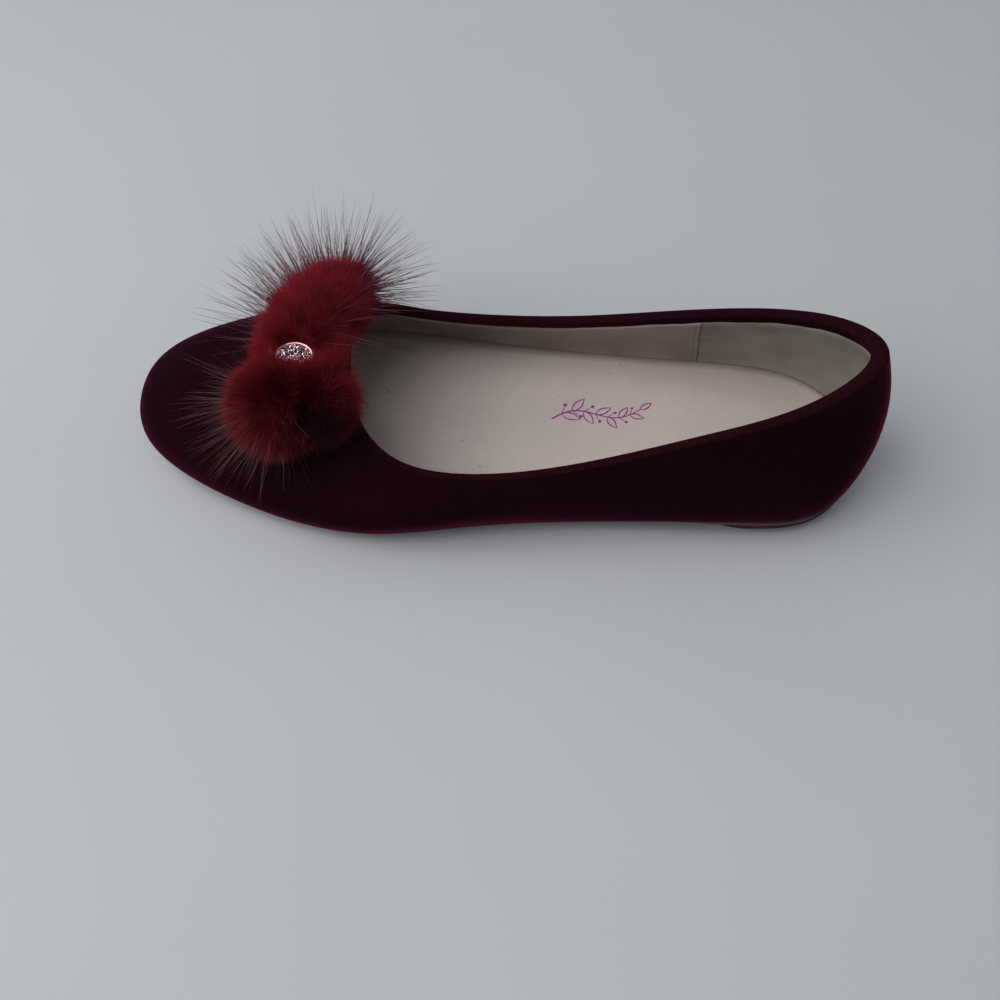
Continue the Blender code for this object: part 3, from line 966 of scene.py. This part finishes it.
def add_stitches(shape, wall, seam):
    """A row of short raised threads down the front lining's end."""
    drop = wall.drop_at(seam.top)
    depth = wall.foot_at(seam.foot) - drop
    shares = np.linspace(0.0, 1.0, STITCH_SIDES)
    thick = STITCH_RADIUS * np.sqrt(np.clip(np.sin(np.pi * shares), STITCH_END, 1.0))
    for start in np.arange(0.5 * STITCH_PITCH, depth - STITCH_PITCH, STITCH_PITCH):
        deep = start + STITCH_LENGTH * shares
        rise = FRONT_LINING + STITCH_RISE * (np.sin(np.pi * shares) - STITCH_SUNK)
        places = zip(drop + deep, seam.at(deep / depth), rise)
        add_thread(shape, np.array([wall.at(*place) for place in places]), thick)


def add_cut_edge_and_shadow(shape, wall, seam):
    """The front lining's cut end, as a thin dark cord from the topline to the foot; the cord also paints
    the shadow that the end casts on the heel lining.
    """
    shares = np.linspace(0.0, 1.0, 2 * LINING_STEPS)
    drop = wall.drop_at(seam.top)
    deep = drop + LINING_LIP + shares * (wall.foot_at(seam.foot) - drop - LINING_LIP)
    places = zip(deep, seam.at(shares))
    middle = np.array([wall.at(*place, FRONT_LINING - EDGE_CORD_RADIUS) for place in places])
    add_thread(shape, middle, np.full(len(middle), EDGE_CORD_RADIUS))


def make_lining(last, wall):
    total = len(last.feather)
    medial = Seam(SEAM_MEDIAL, SEAM_MEDIAL - SEAM_SLANT)
    lateral = Seam(SEAM_LATERAL, SEAM_LATERAL + SEAM_SLANT)
    pale = lining_finish("front_lining", rgb(0.365, 0.289, 0.257), rgb(0.257, 0.196, 0.171))
    grey = lining_finish(
        "heel_lining", rgb(0.385, 0.352, 0.310), rgb(0.250, 0.225, 0.195), HEEL_SMUDGES_AND_SHADE
    )
    front = lining_strip(wall, lateral, medial, FRONT_LINING)
    add_piece("lining_front", front, [pale], "sock", sharp_angle=LINING_SHARP)
    heel = lining_strip(
        wall, medial.moved(-SEAM_TUCK), lateral.moved(total + SEAM_TUCK), HEEL_LINING
    )
    add_piece("lining_heel", heel, [grey], "sock", sharp_angle=LINING_SHARP)
    stitches, edges = Shape(), Shape()
    for seam, inset in ((medial, -STITCH_INSET), (lateral, STITCH_INSET)):
        add_stitches(stitches, wall, seam.moved(inset))
        add_cut_edge_and_shadow(edges, wall, seam)
    thread = thread_finish("thread", rgb(0.20, 0.16, 0.13), rgb(0.36, 0.30, 0.26))
    add_piece("lining_stitches", stitches, [thread], "sock")
    # The cord's dark colour: the cut edge, and painted shadow beside it
    dark = thread_finish("cut_edge_and_shadow", rgb(0.030, 0.024, 0.020), rgb(0.060, 0.048, 0.040))
    add_piece("lining_edges_and_shadow", edges, [dark], "sock")


class Sock:
    """The sock's top, from its lateral to its medial edge."""

    def __init__(self, last):
        outline = last.inside_at(SOCK_TOP)
        self.outline = outline - plan_normals(outline) * SOCK_INSET
        self.ring = paired_ring(self.outline, self.level, SOLE_STATIONS)

    def level(self, x):
        return feather_height(x) + SOCK_TOP

    def edges(self, x):
        """Lateral and medial Y of the edge at places along the sock."""
        lateral, medial = np.split(self.ring, 2)
        return [np.interp(x, side[:, 0], side[:, 1]) for side in (lateral, medial[::-1])]

    def height(self, points):
        """Height of the dished top at plan points."""
        lateral, medial = self.edges(points[:, 0])
        share = (2.0 * points[:, 1] - lateral - medial) / np.maximum(medial - lateral, TIP_STEP)
        return self.level(points[:, 0]) - SOCK_DISH * (1.0 - np.clip(share, -1.0, 1.0) ** 2)


def make_sock(sock):
    """Sock with a dark cut edge, rounded over to its dished top. The dark edge also paints the shade
    where the sock meets the lining.
    """
    outward = plan_normals(sock.outline)
    steps = (
        (0.0, SOCK_TOP - SOCK_BASE), (0.0, SOCK_ROUND),
        (ROUND_SHARE * SOCK_ROUND, ROUND_SHARE * SOCK_ROUND), (SOCK_ROUND, 0.0),
    )
    rings = []
    for inset, drop in steps:
        ring = paired_ring(sock.outline - outward * inset, sock.level, SOLE_STATIONS)
        ring[:, 2] -= drop
        rings.append(ring)
    for share in SOCK_SHARES:
        inner = drawn_in(ring, share)
        inner[:, 2] = sock.height(inner)
        rings.append(inner)
    # The dark cut edge, which also stands in for painted shade along the lining
    dark = [1.0, 1.0, 1.0, 0.5] + [0.0] * len(SOCK_SHARES)
    shape = Shape(*ring_stack(rings), edge=np.repeat(dark, len(ring)))
    add_piece("sock", shape, [sock_finish(sock)], "sock", ["insole"], sharp_angle=SOCK_SHARP)


def foil_strip(sock, line, half_width):
    """Points and faces of a thin strip of foil along a plan line, laid on the sock."""
    along = unit_rows(np.gradient(line, axis=0))
    across = np.column_stack((-along[:, 1], along[:, 0])) * half_width[:, None]
    plan = np.vstack((line + across, (line - across)[::-1]))
    high = sock.height(plan)
    return ring_stack([np.column_stack((plan, high + rise)) for rise in (-FOIL_SINK, FOIL_RISE)])


def turned(vectors, degrees):
    cos, sin = np.cos(np.radians(degrees)), np.sin(np.radians(degrees))
    return np.asarray(vectors) @ np.array(((cos, sin), (-sin, cos)))


def sprig_stem(share):
    """Plan points on the sprig's swaying stem, 0 at its foot and 1 at its tip."""
    share = np.atleast_1d(share)
    way = np.column_stack((SPRIG_LENGTH * share, SPRIG_SWAY * np.sin(2.0 * np.pi * share)))
    return SPRIG_START + turned(way, SPRIG_TURN)


def make_sprig(sock):
    """A stem with outlined leaves and berries on its two sides."""
    shape = Shape()
    shares = np.linspace(0.0, 1.0, LEAF_STEPS)
    line = FOIL_LINE * (FOIL_THIN + (1.0 - FOIL_THIN) * np.sin(np.pi * shares))
    bulge = np.sqrt(np.clip(1.0 - (2.0 * shares - 1.0) ** 2, BERRY_END, 1.0))
    stem = sprig_stem(np.linspace(0.0, 1.0, 4 * LEAF_STEPS))
    shape.add(*foil_strip(sock, stem, np.linspace(*STEM_TAPER, len(stem)) * FOIL_LINE))
    for k, place in enumerate(np.linspace(LEAF_FIRST, 1.0, SPRIG_LEAVES)):
        hand = 1.0 if k % 2 else -1.0
        size = 1.0 - LEAF_SHRINK * place
        foot, ahead = sprig_stem(place)[0], sprig_stem(place + STEM_STEP)[0]
        along = unit_rows(ahead - foot)
        way = turned(along, hand * LEAF_TURN * (place < 1.0))
        across = np.array((-way[1], way[0]))
        for side in (-1.0, 1.0):
            curve = side * LEAF_WIDTH * np.sin(np.pi * shares**LEAF_SKEW)[:, None] * across
            leaf = foot + size * (LEAF_LENGTH * shares[:, None] * way + curve)
            shape.add(*foil_strip(sock, leaf, line))
        way = turned(along, -hand * LEAF_TURN)
        if place < 1.0:
            stalk = foot + size * BERRY_STALK * shares[:, None] * way
            shape.add(*foil_strip(sock, stalk, STALK_LINE * line))
            berry = stalk[-1] + 2.0 * size * BERRY_RADIUS * shares[:, None] * way
            shape.add(*foil_strip(sock, berry, size * BERRY_RADIUS * bulge))
    add_piece("foil_sprig", shape, [foil_finish()], "sock", sharp_angle=EDGE_SHARP)


def sole_outline(last, extra):
    return last.feather[:, :2] - last.feather_out * (last.inset + extra)[:, None]


def make_sole(last):
    """Outsole from the tread up, as rings with an inset and a rise above the tread."""
    steps = (
        (SOLE_TAPER + SOLE_ROUND, 0.0),
        (SOLE_TAPER + ROUND_SHARE * SOLE_ROUND, ROUND_SHARE * SOLE_ROUND),
        (SOLE_TAPER, SOLE_ROUND),
        (0.0, SOLE_THICKNESS - 0.5 * SOLE_ROUND),
        (0.5 * SOLE_ROUND, SOLE_THICKNESS),
    )
    rings = []
    for inset, rise in steps:
        ring = paired_ring(sole_outline(last, inset), tread_height, SOLE_STATIONS)
        ring[:, 2] += rise
        rings.append(ring)
    shape = Shape(*ring_stack(rings))
    brown = sole_finish("outsole", rgb(0.080, 0.040, 0.040), rgb(0.105, 0.054, 0.052))
    add_piece("outsole_shell", shape, [brown], "sole", ["outsole"], sharp_angle=EDGE_SHARP)


def round_breast(ring):
    """Draw a heel ring's two front corners in along an arc."""
    ahead = 1.0 - np.clip((ring[:, 0] - ring[:, 0].min()) / BREAST_ROUND, 0.0, 1.0)
    drawn = BREAST_CORNER * (1.0 - np.sqrt(1.0 - ahead**2))
    lateral = np.arange(len(ring)) < len(ring) // 2
    ring[:, 1] += np.where(lateral, drawn, -drawn)
    return ring


def make_heel(last):
    """Heel block from the floor up, as rings with an inset, a front and a height."""
    steps = (
        (HEEL_TAPER + HEEL_ROUND, BREAST_RAKE + HEEL_ROUND, lambda x: 0.0 * x),
        (HEEL_TAPER + 0.2 * HEEL_ROUND, BREAST_RAKE, lambda x: 0.0 * x + ROUND_SHARE * HEEL_ROUND),
        (HEEL_TAPER, BREAST_RAKE, lambda x: 0.0 * x + HEEL_ROUND),
        (0.0, 0.0, lambda x: tread_height(x) - GAP),
    )
    rings = []
    for inset, front, height in steps:
        outline = sole_outline(last, HEEL_INSET + inset)
        rings.append(round_breast(paired_ring(outline, height, HEEL_STATIONS, HEEL_BREAST + front)))
    shape = Shape(*ring_stack(rings))
    brown = sole_finish("heel_block", rgb(0.072, 0.038, 0.038), rgb(0.098, 0.051, 0.049))
    add_piece("heel_block", shape, [brown], "sole", ["heel"], sharp_angle=EDGE_SHARP)


# Fur bow

class Ground:
    """Height of what lies under the bow's hairs: the velvet, the sock and the floor."""

    CELL = 1.0
    STATIONS = 40
    STEPS = 200

    def __init__(self, sock):
        last = Last(self.STATIONS)
        skin = np.vstack(
            [last.outer(v) for v in np.linspace(0.0, 1.0, self.STEPS)]
            + [last.rim(turn) for turn in np.linspace(0.0, np.pi, RIM_STEPS)]
        )
        self.low = skin[:, :2].min(axis=0) - 2.0 * self.CELL
        size = ((skin[:, :2].max(axis=0) - self.low) / self.CELL).astype(int) + 4
        column, row = np.meshgrid(np.arange(size[0]), np.arange(size[1]), indexing="ij")
        plan = self.low + self.CELL * np.column_stack((column.ravel(), row.ravel()))
        self.heights = self.sock_or_floor(sock, plan).reshape(size)
        cell = np.round((skin[:, :2] - self.low) / self.CELL).astype(int)
        np.maximum.at(self.heights, (cell[:, 0], cell[:, 1]), skin[:, 2])

    @staticmethod
    def sock_or_floor(sock, plan):
        lateral, medial = sock.edges(plan[:, 0])
        inside = (plan[:, 1] > lateral) & (plan[:, 1] < medial)
        inside &= (plan[:, 0] > sock.ring[:, 0].min()) & (plan[:, 0] < sock.ring[:, 0].max())
        return np.where(inside, sock.height(plan), 0.0)

    def at(self, points):
        """Height under points, between the four nearest cells."""
        place = (points[..., :2] - self.low) / self.CELL
        place = np.clip(place, 0.0, np.array(self.heights.shape) - 1.001)
        cell = place.astype(int)
        share = place - cell
        i, j = cell[..., 0], cell[..., 1]
        s, t = share[..., 0], share[..., 1]
        near = (1 - s) * self.heights[i, j] + s * self.heights[i + 1, j]
        far = (1 - s) * self.heights[i, j + 1] + s * self.heights[i + 1, j + 1]
        return (1 - t) * near + t * far


class Form:
    """A rounded form that fur grows on: an ellipsoid, turned in plan."""

    def __init__(self, node):
        numbers = np.array(FORM_ROWS[node])
        cos, sin = np.cos(np.radians(numbers[6])), np.sin(np.radians(numbers[6]))
        self.middle = numbers[:3]
        self.half = numbers[3:6]
        self.axes = np.array(((cos, sin, 0.0), (-sin, cos, 0.0), (0.0, 0.0, 1.0)))
        self.heelwards = 1.0 if "tail" in node else -1.0
        self.side = node.split("_")[-1]
        self.guard_way = np.array(GUARD_WAY[node])

    def place(self, unit):
        """Points of the last's frame for points of the unit ball."""
        return self.middle + np.asarray(unit) * self.half @ self.axes

    def outward(self, points):
        return unit_rows((points - self.middle) @ self.axes.T / self.half**2 @ self.axes)

    def scatter(self, count, rng):
        """Random points spread evenly over the skin, on the form's side of the parting."""
        unit = unit_rows(rng.normal(size=(count, 3)))
        stretch = np.linalg.norm(unit / self.half, axis=1)
        even = rng.random(count) * stretch.max() < stretch
        points = self.place(unit[even])
        return points[(points[:, 0] - PARTING_X) * self.heelwards > 0.0]

    def core(self):
        """Points and triangles of a closed body inside the fur, cut flat at the parting."""
        body = bmesh.new()
        bmesh.ops.create_icosphere(body, subdivisions=CORE_DETAIL, radius=CORE_SHARE)
        for vert in body.verts:
            vert.co = self.place(vert.co)
        cut = bmesh.ops.bisect_plane(
            body, geom=body.verts[:] + body.edges[:] + body.faces[:], dist=1e-5,
            plane_co=(PARTING_X, 0.0, 0.0), plane_no=(-self.heelwards, 0.0, 0.0), clear_outer=True,
        )
        edges = [item for item in cut["geom_cut"] if isinstance(item, bmesh.types.BMEdge)]
        bmesh.ops.edgeloop_fill(body, edges=edges)
        bmesh.ops.triangulate(body, faces=body.faces[:])
        body.verts.index_update()
        points = np.array([vert.co for vert in body.verts])
        faces = np.array([[vert.index for vert in face.verts] for face in body.faces])
        body.free()
        return points, faces


def lumps(points):
    """A soft unevenness between about -2 and 2 over the skin."""
    x, y, z = (2.0 * np.pi * points / LUMP_SIZE).T
    return np.sin(x + 0.9 * z) * np.sin(y - 0.4 * z) + np.sin(1.7 * y + 0.8 * x) * np.sin(1.4 * z - x)


def tuft_lean(points):
    """A soft wandering of directions, so that neighbouring hairs gather in tufts."""
    x, y, z = (2.0 * np.pi * points / TUFT_SIZE).T
    return np.column_stack(
        (np.sin(y + 0.6 * z) + np.sin(0.7 * x - 1.3 * y), np.sin(z + 0.8 * x), np.sin(x + 1.1 * y))
    )


def grow(root, normal, way, kind, ground, rng):
    """Points along hairs from root to tip, and each hair's outward normal.

    Hairs lie on what is under them. Underfur that would cover the clasp is bent back to its
    edge, and guard hairs that would cover it are left out.
    """
    upright = way[:, 2] > 0.0
    way[upright, 2] *= kind["lift"]
    way = unit_rows(way)
    spread = kind["longest"] - kind["shortest"]
    length = kind["shortest"] + spread * rng.random(len(root)) ** kind["skew"]
    bend = rng.normal(size=root.shape) * kind["curl"]
    bend[:, 2] -= kind["droop"]
    end = way + bend
    length = np.minimum(length, (HAIR_TOP - root[:, 2]) / np.maximum(end[:, 2], LEAST_RISE))
    out = np.maximum(np.abs(end[:, 1]), LEAST_RISE)
    length = np.minimum(length, (HAIR_SIDE - np.abs(root[:, 1])) / out)
    t = np.linspace(0.0, 1.0, int(kind["segments"]) + 1)[None, :, None]
    path = root[:, None] + length[:, None, None] * (way[:, None] * t + bend[:, None] * t**2)
    path[..., 2] = np.maximum(path[..., 2], ground.at(path) + HAIR_CLEAR)
    off = path - CLASP_CENTRE
    share = off / (CLASP_HALF + CLASP_CLEAR)
    reach = np.hypot(share[..., 0], share[..., 1])
    near, far = CLASP_SHOWN
    over = (reach < 1.0) & (off[..., 1] > -near) & (off[..., 1] < far)
    if not kind["sparse"]:
        aside = over & ~over[:, :1]
        beside = CLASP_CENTRE[:2] + off[..., :2] / np.maximum(reach, LEAST_REACH)[..., None]
        path[..., :2] = np.where(aside[..., None], beside, path[..., :2])
        over &= ~aside
        share[aside] = 1.0
    inside = np.linalg.norm(share, axis=-1) < 1.0
    kept = ~(over | inside).any(axis=1)
    return path[kept], normal[kept]


def lobe_hairs(form, kind, ground, rng):
    """Hairs of a kind over a lobe's free skin, swept away from the clasp."""
    skin = form.scatter(int(kind["hairs"]), rng)
    normal = form.outward(skin)
    free = (normal[:, 2] < kind["steepest"]) & (skin[:, 2] > ground.at(skin))
    if kind["sparse"]:
        facing = normal[:, :2] @ form.guard_way
        share = GUARD_LEAST + (1.0 - GUARD_LEAST) * smooth_step(GUARD_SPREAD + facing)
        free &= rng.random(len(skin)) < share
    normal = normal[free]
    skin = skin[free] + normal * LUMP_RISE * lumps(skin[free])[:, None]
    base = CLASP_CENTRE - np.array((0.0, 0.0, SWEEP_DROP))
    way = normal * kind["normal"] + unit_rows(skin - base) * kind["sweep"]
    way += tuft_lean(skin) * kind["tuft"] + rng.normal(size=skin.shape) * kind["chance"]
    return grow(skin - normal * ROOT_DEPTH, normal, way, kind, ground, rng)


def middle_hairs(side, kind, ground, rng):
    """Upright underfur round the clasp, on one side of the bow's middle."""
    turn = rng.random(MIDDLE_HAIRS) * np.pi
    reach = np.sqrt(rng.uniform(MIDDLE_INNER**2, 1.0, MIDDLE_HAIRS))
    longest = np.interp(reach, (MIDDLE_INNER, 1.0), MIDDLE_LENGTH[side])
    kind = dict(kind, shortest=MIDDLE_SPREAD * longest, longest=longest)
    out = np.column_stack((np.cos(turn), np.sin(turn) * (1.0 if side == "medial" else -1.0)))
    root = np.column_stack((MIDDLE_CENTRE + out * reach[:, None] * MIDDLE_HALF, 0.0 * turn))
    root[:, 2] = np.maximum(ground.at(root), MIDDLE_LOW)
    away = unit_rows(root[:, :2] - CLASP_CENTRE[:2])
    upright = np.column_stack((away * np.array(MIDDLE_LEAN[side]), np.ones(len(root))))
    way = upright + rng.normal(size=root.shape) * kind["chance"]
    return grow(root, unit_rows(upright), way, kind, ground, rng)


def painted_fur_shade(points):
    """How dark the fur is painted: painted shade by its place on the bow, and a little random mottle by
    its lumps.
    """
    heelwards = smooth_step((points[:, 0] - SHADE_START) / SHADE_SPAN)
    lateral = smooth_step((SHADE_SIDE - points[:, 1]) / SHADE_SIDE_SPAN)
    edge = SHADE_EDGE_RISE * smooth_step((SHADE_EDGE - points[:, 1]) / SHADE_EDGE_SPAN)
    deepest = SHADE_MEDIAL + (SHADE_LATERAL - SHADE_TOE - SHADE_MEDIAL) * lateral + edge
    return SHADE_TOE * lateral + SHADE_MOTTLE * lumps(points) + heelwards * deepest


def add_ribbons(shape, path, normal, width, rng, slot, tan=0.0, painted_light=0.0):
    """Tapered ribbons along paths, two triangles to a segment and one at the tip.

    Each ribbon's flat side is turned outwards as far as its direction lets it.
    """
    count, steps = path.shape[:2]
    along = np.linspace(0.0, 1.0, steps)
    facing = normal + FACING_CHANCE * rng.normal(size=(count, 3))
    side = unit_rows(np.cross(path[:, -1] - path[:, 0], facing))
    half = 0.5 * width * (1.0 - HAIR_TAPER * along[:-1])
    edge = side[:, None] * half[None, :, None]
    pairs = np.stack((path[:, :-1] - edge, path[:, :-1] + edge), axis=2)
    points = np.concatenate((pairs.reshape(count, -1, 3), path[:, -1:]), axis=1)
    each = points.shape[1]
    low = 2 * np.arange(steps - 2)
    strip = np.vstack(
        (
            np.column_stack((low, low + 1, low + 3)),
            np.column_stack((low, low + 3, low + 2)),
            [[each - 3, each - 2, each - 1]],
        )
    )
    faces = (strip[None] + each * np.arange(count)[:, None, None]).reshape(-1, 3)
    values = np.tile(np.concatenate((np.repeat(along[:-1], 2), [1.0])), count)
    # Painted light: the middle hairs are painted nearer their tips' colour and tone
    values = painted_light + (1.0 - painted_light) * values
    tone = np.repeat(np.maximum(rng.random(count), painted_light), each)
    # Painted shade, by the place of each hair's root
    shade = np.repeat(painted_fur_shade(path[:, 0]), each)
    shape.add(points, faces, slot, along=values, tone=tone, shade=shade, tan=tan + 0.0 * tone)


def coat(node, hair):
    """The numbers of one kind of hair on a lobe."""
    kind = dict(zip(HAIR_COLUMNS, HAIR_ROWS[hair]))
    kind.update(zip(COAT_COLUMNS, COAT_ROWS[node, hair]), sparse=hair == "guard")
    return kind


def make_fur(sock):
    ground = Ground(sock)
    finishes = [fur_finish(), guard_finish()]
    rng = np.random.default_rng(SEED)
    for node in FORM_ROWS:
        form = Form(node)
        points, faces = form.core()
        plain = np.zeros(len(points))
        # The core is painted dark as painted shade under the fur
        values = {"along": plain + CORE_TONE, "tone": plain, "shade": painted_fur_shade(points), "tan": plain}
        shape = Shape(points, faces, **values)
        for slot, hair in enumerate(HAIR_ROWS):
            kind = coat(node, hair)
            # The lateral guard hairs are painted pale brown, as a painted glint over the dark velvet
            tan = float(kind["sparse"] and form.side == "lateral")
            width = kind["width"] * (LATERAL_FINE if tan else 1.0)
            add_ribbons(shape, *lobe_hairs(form, kind, ground, rng), width, rng, slot, tan)
        if "loop" in node:
            kind = coat(node, "underfur")
            hairs = middle_hairs(form.side, kind, ground, rng)
            add_ribbons(shape, *hairs, kind["width"], rng, 0, painted_light=MIDDLE_PAINTED_LIGHT)
        add_piece(node.replace("bow", "fur"), shape, finishes, "fur", [node], closed=False)


# Clasp

def dome_point(polar, around):
    """A point on the clasp's dome and its outward normal."""
    unit = np.stack(
        (np.sin(polar) * np.cos(around), np.sin(polar) * np.sin(around), np.cos(polar) + 0.0 * around),
        axis=-1,
    )
    return CLASP_CENTRE + unit * CLASP_HALF, unit_rows(unit / CLASP_HALF)


def make_clasp():
    around = np.linspace(0.0, 2.0 * np.pi, BEZEL_SEGMENTS, endpoint=False)
    polars = np.radians(np.linspace(DOME_POLAR, DOME_POLAR / DOME_RINGS, DOME_RINGS))
    rings = [dome_point(polar, around)[0] for polar in polars]
    low = rings[0].copy()
    low[:, 2] -= DOME_FOOT
    rings.insert(0, low)
    shape = Shape(*ring_stack(rings), 1)
    centre, normal = dome_point(np.radians(BEZEL_POLAR), around)
    out = normal.copy()
    out[:, 2] = 0.0
    out = unit_rows(out)
    up = np.array((0.0, 0.0, 1.0))
    centre += (BEZEL_LIFT + BEZEL_TILT * np.sin(around))[:, None] * up
    band = []
    for turn in np.linspace(0.0, 2.0 * np.pi, BEZEL_SIDES, endpoint=False):
        band.append(centre + BEZEL_WIDE * np.cos(turn) * out + BEZEL_HIGH * np.sin(turn) * up)
    shape.add(band, grid_faces(BEZEL_SIDES, BEZEL_SEGMENTS, close_rows=True))
    add_piece("clasp_frame", shape, [metal_with_painted_reflection(), setting_finish()], "clasp", ["bow_clasp"])


def stone_places():
    """Polar and turning angles of stones set in rings over the dome."""
    for polar in np.radians(np.linspace(0.0, STONE_EDGE, STONE_RINGS)):
        girth = 2.0 * np.pi * np.sin(polar) * 0.5 * (CLASP_HALF[0] + CLASP_HALF[1])
        count = max(1, int(girth / (2.0 * STONE_RADIUS)))
        for k in range(count):
            yield polar, 2.0 * np.pi * (k + 0.5 * polar) / count


def make_stones():
    rng = np.random.default_rng(SEED + 1)
    corner = np.linspace(0.0, 2.0 * np.pi, STONE_SIDES, endpoint=False)
    shape = Shape()
    for polar, turn in stone_places():
        centre, normal = dome_point(polar, np.array(turn))
        normal = unit_rows(normal + rng.normal(size=3) * STONE_TILT)
        side = unit_rows(np.cross(normal, rng.normal(size=3)))
        front = np.cross(normal, side)
        rings = []
        for radius, rise in STONE_PROFILE:
            spoke = np.cos(corner)[:, None] * side + np.sin(corner)[:, None] * front
            rise = STONE_HEIGHT * rise + STONE_SINK
            rings.append(centre + normal * rise + spoke * STONE_RADIUS * radius)
        # Each stone's random tone paints it dark, pink or white, as painted sparkle
        shape.add(*ring_stack(rings), tone=np.full(len(rings) * STONE_SIDES, rng.random()))
    add_piece("clasp_stones", shape, [crystal_finish()], "clasp", flat=True)


# Stage

def add_floor():
    mesh = bpy.data.meshes.new("floor")
    corners = [(x * FLOOR_HALF, y * FLOOR_HALF, 0.0) for x, y in ((-1, -1), (1, -1), (1, 1), (-1, 1))]
    mesh.from_pydata(corners, [], [(0, 1, 2, 3)])
    colours = rgb(0.545, 0.562, 0.585), rgb(0.575, 0.592, 0.612)
    constants = {"Roughness": 0.55, "Specular_IOR_Level": 0.3}
    mesh.materials.append(two_tone("floor", (180.0, 3.0), colours, relief=(0.02, 1.6), **constants))
    floor = bpy.data.objects.new("floor", mesh)
    bpy.context.scene.collection.objects.link(floor)


def add_lamps():
    for name, (place, size, power) in LAMPS.items():
        light = bpy.data.lights.new(name, "AREA")
        light.shape = "DISK"
        light.size = size
        light.energy = power
        light.color = LAMP_COLOUR
        lamp = bpy.data.objects.new(name, light)
        bpy.context.scene.collection.objects.link(lamp)
        lamp.location = place
        lamp.rotation_euler = (Vector(LAMP_TARGET) - Vector(place)).to_track_quat("-Z", "Y").to_euler()


def add_sky():
    """Even light from all round, weaker from the dark side of the room."""
    world = bpy.data.worlds.new("studio")
    graph = Graph(world)
    way = graph.node("ShaderNodeTexCoord").outputs["Generated"]
    inputs = {0: way, 1: DARK_SIDE}
    facing = graph.node("ShaderNodeVectorMath", inputs, operation="DOT_PRODUCT").outputs["Value"]
    strength = graph.limits(facing, *SKY_TURN, *SKY_STRENGTH, interpolation_type="SMOOTHSTEP")
    graph.give(graph.tree.nodes["Background"], {"Color": SKY_COLOUR, "Strength": strength})
    bpy.context.scene.world = world


def add_studio():
    add_floor()
    add_lamps()
    add_sky()
    bpy.context.scene.view_settings.view_transform = "Standard"


def add_camera():
    elevation = np.radians(CAMERA_ELEVATION)
    yaw = np.radians(CAMERA_YAW)
    right = np.array((np.cos(yaw), np.sin(yaw), 0.0))
    level = np.array((np.sin(yaw), -np.cos(yaw), 0.0))
    back = level * np.cos(elevation) + np.array((0.0, 0.0, np.sin(elevation)))
    turn = np.eye(4)
    turn[:3, :3] = np.column_stack((right, np.cross(back, right), back))
    turn[:3, 3] = (CAMERA_TARGET + back * CAMERA_DISTANCE) * MM
    lens = bpy.data.cameras.new("camera")
    lens.lens = CAMERA_LENS
    lens.sensor_width = CAMERA_SENSOR
    lens.clip_start = CAMERA_NEAR
    camera = bpy.data.objects.new("camera", lens)
    camera.matrix_world = Matrix(turn.tolist())
    bpy.context.scene.collection.objects.link(camera)
    bpy.context.scene.camera = camera


def main():
    add_camera()
    add_studio()
    last = Last(STATIONS_PER_ROW)
    sock = Sock(last)
    make_upper(last)
    make_lining(last, LiningWall(last))
    make_sock(sock)
    make_sprig(sock)
    make_sole(last)
    make_heel(last)
    make_fur(sock)
    make_clasp()
    make_stones()


main()
